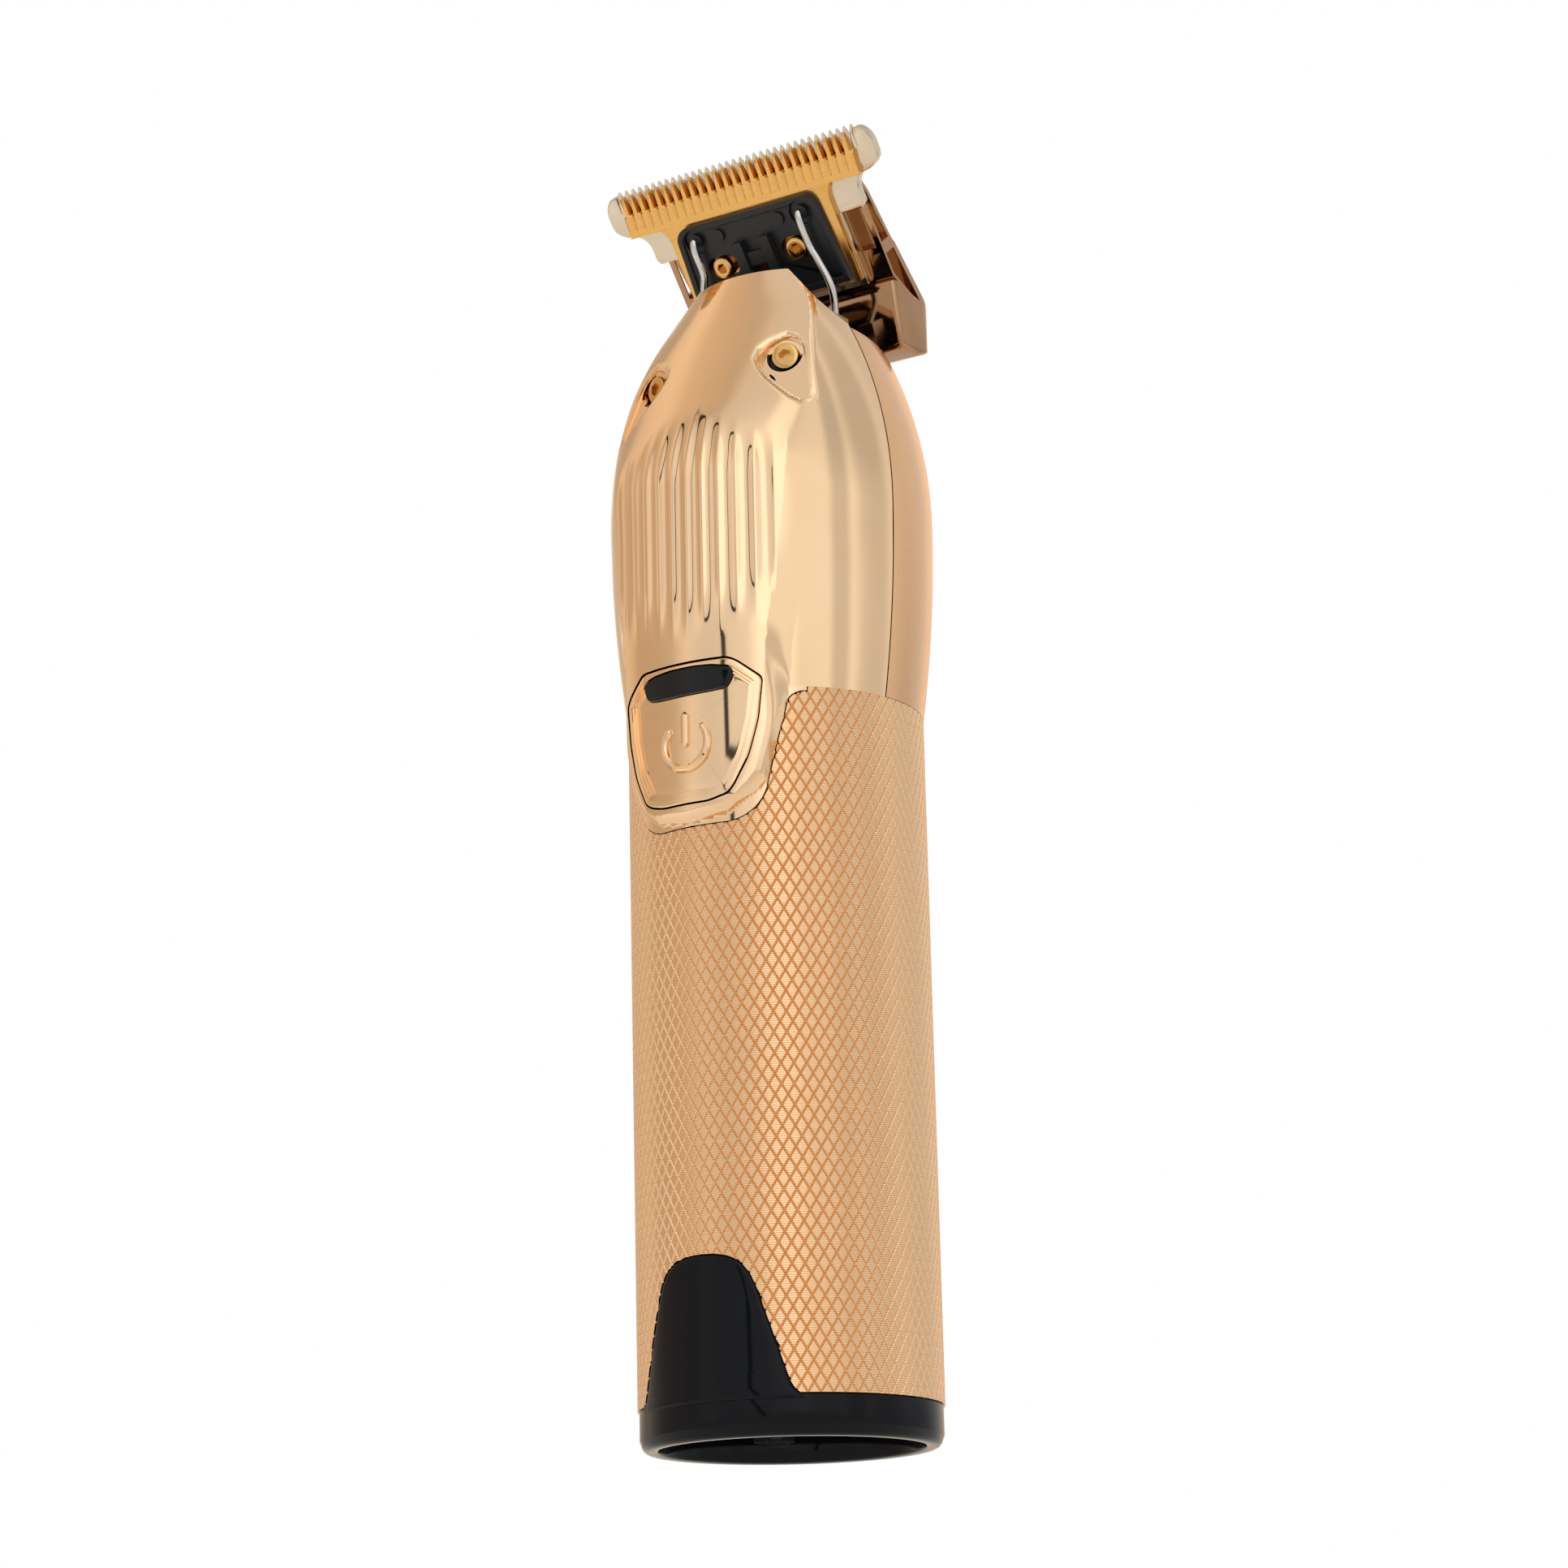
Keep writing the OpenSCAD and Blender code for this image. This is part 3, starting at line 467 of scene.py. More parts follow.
def inset(outline: np.ndarray, by: float) -> np.ndarray:
    """Moves each point of an anticlockwise outline inwards by a distance.

    Args:
        outline: Points of the outline, in millimetres.
        by: Distance inwards; a negative one goes outwards.

    Returns:
        The moved points.
    """
    ahead, back = np.roll(outline, -1, 0) - outline, outline - np.roll(outline, 1, 0)
    normal = np.zeros_like(outline)
    for edge in (ahead, back):
        unit = edge / np.maximum(np.hypot(*edge.T), 1e-9)[:, None]
        normal += np.stack([-unit[:, 1], unit[:, 0]], 1)
    normal /= np.maximum(np.hypot(*normal.T), 1e-9)[:, None]
    return outline + by * normal


def anticlockwise(outline: np.ndarray) -> np.ndarray:
    """Turns an outline so that it runs anticlockwise."""
    x, y = outline.T
    area = np.sum(x * np.roll(y, -1) - y * np.roll(x, -1))
    return outline if area > 0 else outline[::-1]


def pad(name: str, outline: np.ndarray, place: Place, profile: Sequence[tuple[float, float]],
        floor: float, fills: int = 8) -> bpy.types.Object:
    """Builds a closed pad whose top follows a surface, with a stepped or rounded edge.

    Args:
        name: Name of the piece.
        outline: Closed outline in the surface's own plane.
        place: Function that puts an outline point and a lift into space.
        profile: Pairs of inset and lift from the edge inwards.
        floor: Lift of the underside.
        fills: Rings between the last inset and the middle.

    Returns:
        A closed mesh object.
    """
    base = anticlockwise(np.asarray(outline, float))
    rings = [(base, floor)] + [(inset(base, d), lift) for d, lift in profile]
    middle = rings[-1][0].mean(0)
    for k in range(1, fills):
        rings.append((middle + (1 - k / fills) * (rings[len(profile)][0] - middle), profile[-1][1]))
    foot = base.mean(0)
    under = [(foot + (k / fills) * (base - foot), floor) for k in range(1, fills)]
    rows = [place(p[:, 0], p[:, 1], lift) for p, lift in under + rings]
    count = len(base)
    points = np.concatenate(rows + [place(*np.array([[foot[0]], [foot[1]]]), floor),
                                    place(*np.array([[middle[0]], [middle[1]]]), profile[-1][1])])
    faces = grid_faces(len(rows), count, ring=True)
    low, high = len(rows) * count, len(rows) * count + 1
    last = (len(rows) - 1) * count
    faces += [[low, (j + 1) % count, j] for j in range(count)]
    faces += [[high, last + j, last + (j + 1) % count] for j in range(count)]
    return mend(make_object(name, points, faces))


def prism(name: str, outline: np.ndarray, place: Place, low: float, high: float) -> bpy.types.Object:
    """Extrudes a flat outline between two lifts.

    Args:
        name: Name of the piece.
        outline: Closed outline.
        place: Function that puts an outline point and a lift into space.
        low: First lift.
        high: Second lift.

    Returns:
        A closed mesh object.
    """
    pts = np.asarray(outline, float)
    count = len(pts)
    points = np.concatenate([place(pts[:, 0], pts[:, 1], low), place(pts[:, 0], pts[:, 1], high)])
    faces = [[j, (j + 1) % count, count + (j + 1) % count, count + j] for j in range(count)]
    faces += [list(range(count))[::-1], list(range(count, 2 * count))]
    return mend(make_object(name, points, faces))


def sweep(name: str, path: np.ndarray, radius: float, sides: int = 16) -> bpy.types.Object:
    """Sweeps a round section along a path, with rounded ends.

    Args:
        name: Name of the piece.
        path: Points in millimetres.
        radius: Radius of the section.
        sides: Sides of the section.

    Returns:
        A closed mesh object.
    """
    path = np.asarray(path, float)
    along = np.gradient(path, axis=0)
    along /= np.linalg.norm(along, axis=1)[:, None]
    up = np.cross(along[0], [0.3, 0.2, 0.9])
    rows = []
    turn = np.linspace(0, 2 * math.pi, sides, endpoint=False)
    ends = [(0.25, 0.85), (0.7, 0.45), (1.0, 0.0)]
    for i, (point, direction) in enumerate(zip(path, along)):
        up = up - direction * (up @ direction)
        up /= np.linalg.norm(up)
        side = np.cross(direction, up)
        ring = np.cos(turn)[:, None] * up + np.sin(turn)[:, None] * side
        if i == 0:
            rows += [point - direction * radius * back + ring * radius * k for k, back in ends[:-1]]
        rows.append(point + ring * radius)
        if i == len(path) - 1:
            rows += [point + direction * radius * back + ring * radius * k for k, back in ends[-2::-1]]
    count = len(rows)
    points = np.concatenate(rows)
    faces = grid_faces(count, sides, ring=True)
    faces += [list(range(sides))[::-1], [(count - 1) * sides + j for j in range(sides)]]
    return mend(make_object(name, points, faces))


def spline(points: Sequence[Sequence[float]], steps: int = 10) -> np.ndarray:
    """Runs a smooth curve through points.

    Args:
        points: Points that the curve passes through.
        steps: Points made for each stretch.

    Returns:
        Points along the curve.
    """
    p = np.asarray(points, float)
    p = np.vstack([2 * p[0] - p[1], p, 2 * p[-1] - p[-2]])
    t = np.linspace(0, 1, steps, endpoint=False)[:, None]
    parts = []
    for a, b, c, d in zip(p, p[1:], p[2:], p[3:]):
        parts.append(0.5 * (2 * b + (c - a) * t + (2 * a - 5 * b + 4 * c - d) * t ** 2
                            + (3 * b - a - 3 * c + d) * t ** 3))
    return np.vstack(parts + [p[-2:-1]])


def front_plane(radius: float) -> Place:
    """Gives the placing of outlines seen from the front, on a cylinder of a radius."""
    def place(x: np.ndarray, z: np.ndarray, lift: float) -> np.ndarray:
        """Places points on the cylinder."""
        return np.stack([x, -np.sqrt(np.maximum((radius + lift) ** 2 - x ** 2, 0.01)), z], 1)
    return place


def from_front(x: np.ndarray, z: np.ndarray, lift: float) -> np.ndarray:
    """Places outline points seen from the front at a depth in front of the axis."""
    return np.stack([x, np.full_like(x, -lift), z], 1)


BLADE_Z = 160.0


def on_blade(x: np.ndarray, s: np.ndarray, lift: float | np.ndarray) -> np.ndarray:
    """Places points of the blade plane: across, up the blade and out of its face."""
    h = np.broadcast_to(lift, np.shape(x))
    return np.stack([x, -0.6225 * s - 0.7826 * h, BLADE_Z + 0.7826 * s - 0.6225 * h], -1)


def soft_min(a: np.ndarray, b: np.ndarray, reach: float) -> np.ndarray:
    """Takes the lower of two values, with a rounded change over a reach."""
    h = np.clip(0.5 + 0.5 * (b - a) / reach, 0, 1)
    return b * (1 - h) + a * h - reach * h * (1 - h)


def ease(t: np.ndarray) -> np.ndarray:
    """Eases a value between zero and one."""
    t = np.clip(t, 0, 1)
    return t * t * (3 - 2 * t)


@dataclass(frozen=True)
class Housing:
    """The form of the two covers, as a radius for each angle and height.

    Attributes:
        sleeve: Radius of the sleeve.
        top: Height of the sleeve's top.
        belly: Height of the widest place.
        wide: Radius there.
        lip: Height of the upper edge.
        seam: How far the seam lies in front of the axis.
        wall: Thickness of the covers.
        rib: Distance between two ribs of the front.
    """

    sleeve: float = 19.0
    top: float = 92.5
    belly: float = 119.0
    wide: float = 20.95
    lip: float = 152.3
    seam: float = 3.06
    wall: float = 1.8
    rib: float = 2.22
    rib_depth: float = 0.3
    ribs_half: float = 12.21
    scale: float = 20.0
    roll: float = 0.45
    roll_reach: float = 1.1
    panel_in: tuple = ((0, 77.9), (3.6, 77.9), (6.4, 78.8), (8.8, 83.2), (10.1, 87.7), (10.6, 93.0),
                       (10.7, 96),
                       (11.1, 99.9), (11.87, 105.8), (12.36, 110.1), (13.09, 114.1), (13.58, 119.3),
                       (14.0, 123.4), (13.9, 127), (13.9, 140))
    panel_out: tuple = ((0, 75.6), (5.33, 76.4), (9.04, 78.7), (10.84, 80.6), (12.47, 85.5), (13.4, 90.5),
                        (13.85, 93.5), (14.2, 97.7), (15.46, 106), (16.1, 112), (16.7, 117), (17.0, 122),
                        (17.2, 127), (17.3, 140))

    def side(self, z: np.ndarray) -> np.ndarray:
        """Radius of the round body at a height."""
        low = (26.5 ** 2 + 1.95 ** 2) / (2 * 1.95)
        high = (33.3 ** 2 + 11.55 ** 2) / (2 * 11.55)
        bend = np.where(z < self.belly, low, high)
        r = self.wide - bend + np.sqrt(np.maximum(bend ** 2 - (z - self.belly) ** 2, 0))
        return np.where(z < self.top, self.sleeve, r)

    def panel(self, angle: np.ndarray, z: np.ndarray) -> np.ndarray:
        """Radius of the raised front panel.

        Args:
            angle: Angles from the front, in radians.
            z: Heights in millimetres.

        Returns:
            Radii in millimetres.
        """
        low = self.wide - 0.25 * np.clip((100 - z) / 20, 0, 1)
        centre = np.where(z < self.belly, low, self.side(np.maximum(z, self.belly)))
        centre = soft_min(centre, 7.0 + 0.5 * (self.lip - z), 2.0)
        marks, flat = (0, 119, 131, 140, self.lip), (self.wide, self.wide, 25, 31, 13)
        rho = sum(np.interp(z + k, marks, flat) for k in range(-5, 6)) / 11
        d = centre - rho
        return d * np.cos(angle) + np.sqrt(np.maximum(rho ** 2 - (d * np.sin(angle)) ** 2, 0))

    @staticmethod
    def gap(line: tuple, s: np.ndarray, z: np.ndarray) -> np.ndarray:
        """Distance to a line of half widths, negative between it and the middle.

        Args:
            line: Pairs of half width and height.
            s: Distances sideways along the surface.
            z: Heights in millimetres.

        Returns:
            Signed distances in millimetres.
        """
        pts = np.array(line)
        near = np.full(s.shape, 1e9)
        for a, b in zip(pts[:-1], pts[1:]):
            e = b - a
            t = np.clip(((s - a[0]) * e[0] + (z - a[1]) * e[1]) / (e @ e), 0, 1)
            near = np.minimum(near, np.hypot(s - a[0] - t * e[0], z - a[1] - t * e[1]))
        half = np.interp(z, pts[:, 1], pts[:, 0], left=0)
        return np.where((s < half) & (z > pts[0, 1]), -near, near)

    def flute(self, angle: np.ndarray, z: np.ndarray) -> np.ndarray:
        """Depth of the channels between the ribs."""
        x = self.wide * np.sin(np.abs(angle))
        fade = ease((130.5 - 0.03 * x ** 2 - z) / 6) * ease((z - 98 - 0.02 * x ** 2) / 9)
        wave = np.abs(np.cos(math.pi * x / self.rib))
        return self.rib_depth * wave * fade * np.clip((self.ribs_half - x) / 0.15, 0, 1)

    def radius(self, angle: np.ndarray, z: np.ndarray) -> np.ndarray:
        """Radius of the outer surface at an angle from the front and a height.

        Args:
            angle: Angles from the front, in radians.
            z: Heights in millimetres.

        Returns:
            Radii in millimetres.
        """
        angle, z = np.broadcast_arrays(np.asarray(angle, float), np.asarray(z, float))
        body = self.side(z) + np.where(z < self.top, 0.05, 0.0)
        panel = self.panel(angle, z)
        s = np.abs(angle) * self.scale
        inner, outer = self.gap(self.panel_in, s, z), self.gap(self.panel_out, s, z)
        t = np.where(inner <= 0, 0, np.where(outer >= 0, 1, inner / np.maximum(inner - outer, 1e-6)))
        k = ease((z - 87) / 10)
        share = np.power(np.maximum(1 - np.power(t, 2.2 * (1 - k) + k), 0), 0.75 * (1 - k) + 1.6 * k)
        r = share * panel + (1 - share) * soft_min(body, panel, 0.25)
        return r - self.flute(angle, z) - self.rolled(s, z)

    def rolled(self, s: np.ndarray, z: np.ndarray) -> np.ndarray:
        """Depth of the rolled rim round each screw pocket.

        Args:
            s: Distances sideways along the surface.
            z: Heights in millimetres.

        Returns:
            Depths in millimetres.
        """
        ring = np.array([(self.scale * math.atan2(x, -y), height) for x, y, height in POCKET])
        near = np.full(s.shape, 1e9)
        for a, b in zip(ring, np.roll(ring, -1, 0)):
            e = b - a
            t = np.clip(((s - a[0]) * e[0] + (z - a[1]) * e[1]) / (e @ e), 0, 1)
            near = np.minimum(near, np.hypot(s - a[0] - t * e[0], z - a[1] - t * e[1]))
        return self.roll * np.clip(1 - near / self.roll_reach, 0, 1) ** 2

    def point(self, angle: np.ndarray, z: np.ndarray, drop: float = 0.0) -> np.ndarray:
        """Point of the outer surface, or of one a distance inside it."""
        r = self.radius(angle, z) - drop
        return np.stack([r * np.sin(angle), -r * np.cos(angle), np.broadcast_to(z, r.shape)], -1)

    def polish(self, piece: bpy.types.Object) -> None:
        """Sets exact normals on the faces that lie on the outer surface.

        Args:
            piece: Mesh cut from the housing.
        """
        mesh = piece.data
        smooth(piece, 30)
        co = np.empty(len(mesh.vertices) * 3)
        mesh.vertices.foreach_get("co", co)
        co = co.reshape(-1, 3) / MM
        angle, z = np.arctan2(co[:, 0], -co[:, 1]), co[:, 2]
        step = 0.02
        along = self.point(angle + step / 20, z) - self.point(angle - step / 20, z)
        up = self.point(angle, z + step) - self.point(angle, z - step)
        exact = np.cross(along, up)
        exact /= np.maximum(np.linalg.norm(exact, axis=1), 1e-9)[:, None]
        on = np.abs(np.hypot(co[:, 0], co[:, 1]) - self.radius(angle, z)) < 0.02
        normals = np.zeros((len(mesh.loops), 3))
        for poly in mesh.polygons:
            ids = list(poly.vertices)
            if all(on[ids]) and exact[ids].mean(0) @ np.array(poly.normal) > 0.7:
                normals[list(poly.loop_indices)] = exact[ids]
        mesh.normals_split_custom_set(normals.tolist())


HOUSING = Housing()
TONGUE_HALF = (arc((4.6, 80.6), 5, -90, -12, 12) + [(11.7, 90.0)] + arc((13.7, 90.0), 2, 180, 90, 8))
WINDOW = resample(mirrored([(3.5, 77.9), (6.4, 78.7), (8.7, 83.2), (9.9, 87.8), (10.5, 93.3), (6.8, 96.3)]),
                  1.3, 0)
LENS_OUT = resample(mirrored([(5.5, 92.2), (6.4, 93.0), (7.1, 95.6)]), 0.45, 2)
BASE_TONGUE = [(11.4, 5.0), (10.9, 5.5), (10.5, 6.4), (8.65, 12.8), (7.15, 17.6), (6.4, 19.4), (5.3, 20.8),
               (3.9, 21.6), (2.0, 22.0), (0.0, 22.1)]
SCREW_AT = np.array([10.4, -11.6, 137.7])
SCREW_TURN = math.radians(20)
POCKET = ((10.58, -10.93, 140.6), (8.7, -11.97, 139.84), (7.48, -12.82, 138.76), (7.3, -13.44, 137.46),
          (8.05, -13.93, 136.09), (9.34, -14.29, 134.41), (11.34, -14.27, 132.49), (13.04, -13.96, 131.02),
          (14.44, -13.35, 130.15), (14.94, -12.56, 131.3), (14.31, -12.17, 133.52), (13.64, -11.67, 135.97),
          (13.14, -11.18, 137.71), (12.69, -10.88, 138.93), (11.79, -10.77, 140.06))


class Covers:
    """Front and rear covers of the head."""

    def __init__(self, form: Housing) -> None:
        """Keeps the form that both covers share."""
        self.form = form

    def columns(self, z: np.ndarray) -> np.ndarray:
        """Angles of the front cover's columns at each height, from seam to seam.

        Args:
            z: Heights in millimetres.

        Returns:
            Angles in radians, one row for each height.
        """
        near = math.asin(self.form.ribs_half / self.form.wide)
        x = np.linspace(0, self.form.ribs_half, 56)
        fixed = np.concatenate([np.arcsin(x / self.form.wide), np.linspace(near, math.radians(46), 18)[1:]])
        end = np.arccos(self.form.seam / self.form.side(z))
        share = np.linspace(0, 1, 20)[1:]
        outer = fixed[-1] + share * (end[..., None] - fixed[-1])
        half = np.concatenate([np.broadcast_to(fixed, outer.shape[:-1] + fixed.shape), outer], -1)
        return np.concatenate([-half[..., :0:-1], half], -1)

    def edge(self, column: int) -> float:
        """Height at which a column of the front cover meets its upper edge.

        Args:
            column: Number of the column, from one seam.

        Returns:
            Height in millimetres.
        """
        low, high = 128.0, self.form.lip
        for _ in range(24):
            z = np.array([(low + high) / 2])
            angle = self.columns(z)[0, column]
            x = abs(float(self.form.radius(angle, z)[0] * math.sin(angle)))
            if z[0] < self.form.lip - 1.154 * max(0.0, x - 7.1):
                low = z[0]
            else:
                high = z[0]
        return (low + high) / 2

    def front(self) -> bpy.types.Object:
        """Builds the mirror-polished front cover with ribs, pockets, window and tongue.

        Returns:
            The finished cover.
        """
        low = np.concatenate([np.arange(74.6, 98, 0.3), np.arange(98, 128, 0.75)])
        count = self.columns(np.array([100.0])).shape[1]
        tops = np.array([self.edge(j) for j in range(count)])
        share = np.linspace(0, 1, 60)[:, None]
        z = np.concatenate([np.repeat(low[:, None], count, 1), 128 + share * (tops - 128)[None]])
        angle = np.empty_like(z)
        for j in range(count):
            angle[:, j] = self.columns(z[:, j])[:, j]
        piece = shell("front_cover_polished", self.form.point(angle, z),
                      self.form.point(angle, z, self.form.wall))
        half = TONGUE_HALF + [(13.7, 92.5), (40, 92.5), (40, 60)]
        carve(piece, prism("tongue_cut", mirrored(half), from_front, 0, 40))
        carve(piece, prism("window_cut", resample(WINDOW, 0.3, 3), from_front, 0, 40))
        for side in (1, -1):
            carve(piece, self.pocket(side))
        self.form.polish(piece)
        return settle(piece, MIRROR_GOLD, Body.HANDLE, "gold_mirror", "front_cover")

    def pocket(self, side: int) -> bpy.types.Object:
        """Builds the tool that cuts one screw pocket.

        Args:
            side: One for the right, minus one for the left.

        Returns:
            A closed mesh object.
        """
        out = np.array([math.sin(SCREW_TURN), -math.cos(SCREW_TURN), 0])
        lean = np.array([0.214, -0.932, 0.293])
        ring = np.array(POCKET)
        for _ in range(2):
            nxt = np.roll(ring, -1, 0)
            ring = np.stack([0.75 * ring + 0.25 * nxt, 0.25 * ring + 0.75 * nxt], 1).reshape(-1, 3)
        drop = ((ring - SCREW_AT) @ lean) / (out @ lean) + 0.45
        low = ring - out * drop[:, None]
        high = low + out * 9
        count = len(ring)
        points = np.concatenate([low, high]) * [side, 1, 1]
        faces = [[j, (j + 1) % count, count + (j + 1) % count, count + j] for j in range(count)]
        faces += [list(range(count))[::-1], list(range(count, 2 * count))]
        tool = mend(make_object("pocket_cut", points, faces))
        turn = np.linspace(0, 2 * math.pi, 48, endpoint=False)
        across, up = np.array([math.cos(SCREW_TURN), math.sin(SCREW_TURN), 0]), np.array([0, 0, 1.0])
        round_ring = 2.45 * (np.cos(turn)[:, None] * across + np.sin(turn)[:, None] * up)
        points = np.concatenate([SCREW_AT - out * 1.4 + round_ring, SCREW_AT + out * 6 + round_ring]) * [side,
                1, 1]
        faces = [[j, (j + 1) % 48, 48 + (j + 1) % 48, 48 + j] for j in range(48)]
        faces += [list(range(48))[::-1], list(range(48, 96))]
        return carve(tool, mend(make_object("seat_cut", points, faces)), "UNION")

    def rear(self) -> bpy.types.Object:
        """Builds the satin rear cover.

        Returns:
            The finished cover.
        """
        form = self.form
        seam = form.seam - 0.2
        end_share = np.linspace(-1, 1, 121)
        rows = 100

        def top(angle: np.ndarray, z: np.ndarray) -> np.ndarray:
            """Height of the upper edge at the place of a point."""
            y = -form.side(z) * np.cos(angle)
            return 142.9 - (y + 3) * 11 / 63

        grid_z, grid_a = np.empty((rows, 121)), np.empty((rows, 121))
        for j, share in enumerate(end_share):
            z = np.array([142.0])
            for _ in range(12):
                reach = math.pi - np.arccos(seam / form.side(z))
                z = top(math.pi + share * reach, z)
            column = np.linspace(form.top + 0.05, z[0], rows)
            grid_z[:, j] = column
            grid_a[:, j] = math.pi + share * (math.pi - np.arccos(seam / form.side(column)))
        outer, inner = [np.stack([r * np.sin(grid_a), -r * np.cos(grid_a), grid_z], -1)
                        for r in (form.side(grid_z), form.side(grid_z) - form.wall)]
        piece = smooth(shell("rear_cover_satin", outer, inner), 40)
        return settle(piece, SATIN_GOLD, Body.HANDLE, "gold_satin", "rear_cover")


def set_input(modifier: bpy.types.Modifier, values: dict) -> None:
    """Sets a Geometry Nodes modifier's named inputs by their identifiers."""
    for item in modifier.node_group.interface.items_tree:
        if item.item_type == "SOCKET" and item.in_out == "INPUT" and item.name in values:
            modifier[item.identifier] = values[item.name]


def node_tree(name: str, sockets: dict[str, str]) -> tuple[bpy.types.NodeTree, bpy.types.Node]:
    """Starts a Geometry Nodes tree with named inputs.

    Args:
        name: Name of the tree.
        sockets: Socket type for each input name, after the geometry.

    Returns:
        The tree and its input node.
    """
    tree = bpy.data.node_groups.new(name, "GeometryNodeTree")
    tree.interface.new_socket("Geometry", in_out="INPUT", socket_type="NodeSocketGeometry")
    for label, kind in sockets.items():
        tree.interface.new_socket(label, in_out="INPUT", socket_type="NodeSocket" + kind)
    tree.interface.new_socket("Geometry", in_out="OUTPUT", socket_type="NodeSocketGeometry")
    return tree, tree.nodes.new("NodeGroupInput")


def math_node(tree: bpy.types.NodeTree, operation: str, *values: object) -> bpy.types.NodeSocket:
    """Adds one sum of up to three values and returns its result."""
    return add_node(tree, "ShaderNodeMath", dict(enumerate(values)), operation=operation).outputs[0]


@dataclass
class Sleeve:
    """Knurled sleeve, made by repeating one diamond on two interleaved grids.

    Attributes:
        starts: Diamonds around the sleeve.
        rows: Rows of diamonds.
        radius: Outer radius.
        bore: Inner radius.
        low: Height of the lower edge.
        high: Height of the upper edge.
        groove: Depth of the grooves.
    """

    starts: int = 76
    rows: int = 36
    radius: float = 19.0
    bore: float = 17.85
    low: float = 5.0
    high: float = 92.5
    groove: float = 0.2

    def cell(self, across: float, along: float) -> bpy.types.Object:
        """Builds one flat diamond with bevelled sides.

        Args:
            across: Width of the diamond in millimetres.
            along: Height of the diamond in millimetres.

        Returns:
            The diamond as a mesh object.
        """
        a, b = across / 2, along / 2
        k = 0.74
        ring = np.array([(a, 0), (0, b), (-a, 0), (0, -b)])
        low = np.column_stack([ring, np.full(4, -self.groove)])
        high = np.column_stack([ring * k, np.zeros(4)])
        points = np.vstack([low, high, [[0, 0, 0.012]]])
        faces = [[j, (j + 1) % 4, 4 + (j + 1) % 4, 4 + j] for j in range(4)]
        faces += [[4 + j, 4 + (j + 1) % 4, 8] for j in range(4)]
        return make_object("knurled_sleeve_body", points, faces)

    def tree(self) -> bpy.types.NodeTree:
        """Builds the tree that repeats the diamond and wraps it round the sleeve.

        Returns:
            The node tree.
        """
        tree, given = node_tree("knurl", {"Starts": "Int", "Rows": "Int", "Across": "Float", "Along": "Float",
                                          "Radius": "Float", "Foot": "Float", "Finish": "Material"})
        out = given.outputs
        wide = math_node(tree, "MULTIPLY", out["Across"], math_node(tree, "SUBTRACT", out["Starts"], 1.0))
        tall = math_node(tree, "MULTIPLY", out["Along"], math_node(tree, "SUBTRACT", out["Rows"], 1.0))
        grid = add_node(tree, "GeometryNodeMeshGrid", {"Size X": wide, "Size Y": tall,
                        "Vertices X": out["Starts"], "Vertices Y": out["Rows"]})
        half = [math_node(tree, "MULTIPLY", out[n], 0.5) for n in ("Across", "Along")]
        move = add_node(tree, "ShaderNodeCombineXYZ", {0: half[0], 1: half[1]})
        shift = add_node(tree, "GeometryNodeTransform",
                         {"Geometry": grid.outputs[0], "Translation": move.outputs[0]})
        both = add_node(tree, "GeometryNodeJoinGeometry", {0: grid.outputs[0]})
        tree.links.new(shift.outputs[0], both.inputs[0])
        copies = add_node(tree, "GeometryNodeInstanceOnPoints",
                          {"Points": both.outputs[0], "Instance": out["Geometry"]})
        real = add_node(tree, "GeometryNodeRealizeInstances", {0: copies.outputs[0]})
        xyz = add_node(tree, "ShaderNodeSeparateXYZ",
                       {0: add_node(tree, "GeometryNodeInputPosition").outputs[0]})
        angle = math_node(tree, "DIVIDE", xyz.outputs[0], out["Radius"])
        reach = math_node(tree, "ADD", xyz.outputs[2], out["Radius"])
        wrapped = add_node(tree, "ShaderNodeCombineXYZ", {
            0: math_node(tree, "MULTIPLY", math_node(tree, "SINE", angle), reach),
            1: math_node(tree, "MULTIPLY", math_node(tree, "COSINE", angle),
                         math_node(tree, "MULTIPLY", reach, -1.0)),
            2: math_node(tree, "ADD", xyz.outputs[1], out["Foot"])})
        bent = add_node(tree, "GeometryNodeSetPosition",
                        {"Geometry": real.outputs[0], "Position": wrapped.outputs[0]})
        merged = add_node(tree, "GeometryNodeMergeByDistance",
                          {"Geometry": bent.outputs[0], "Distance": 2e-5})
        dressed = add_node(tree, "GeometryNodeSetMaterial",
                           {"Geometry": merged.outputs[0], "Material": out["Finish"]})
        add_node(tree, "NodeGroupOutput", {0: dressed.outputs[0]})
        return tree

    def build(self) -> bpy.types.Object:
        """Builds the sleeve, with its notches and its inner wall.

        Returns:
            The finished sleeve.
        """
        across = 2 * math.pi * self.radius / self.starts
        along = (self.high - self.low) / (self.rows - 2)
        piece = self.cell(across, along)
        knurl = piece.modifiers.new("knurl", "NODES")
        knurl.node_group = self.tree()
        set_input(knurl, {"Starts": self.starts, "Rows": self.rows, "Across": across * MM,
                          "Along": along * MM,
                          "Radius": self.radius * MM, "Foot": (self.low + self.high) / 2 * MM,
                          "Finish": KNURL_GOLD.build()})
        bake(piece)
        self.close(piece)
        notch = TONGUE_HALF + [(13.7, 92.5), (13.7, 99)]
        carve(piece, prism("top_notch", inset(resample(anticlockwise(mirrored(notch)), 0.5), -0.12),
                           from_front, 10, 30))
        foot = [(BASE_TONGUE[0][0], -2.0)] + BASE_TONGUE
        carve(piece, prism("foot_notch", inset(resample(anticlockwise(mirrored(foot)), 0.5), -0.12),
                           from_front, 10, 30))
        smooth(piece, 12)
        return settle(piece, KNURL_GOLD, Body.HANDLE, "gold_knurled", "knurled_sleeve")

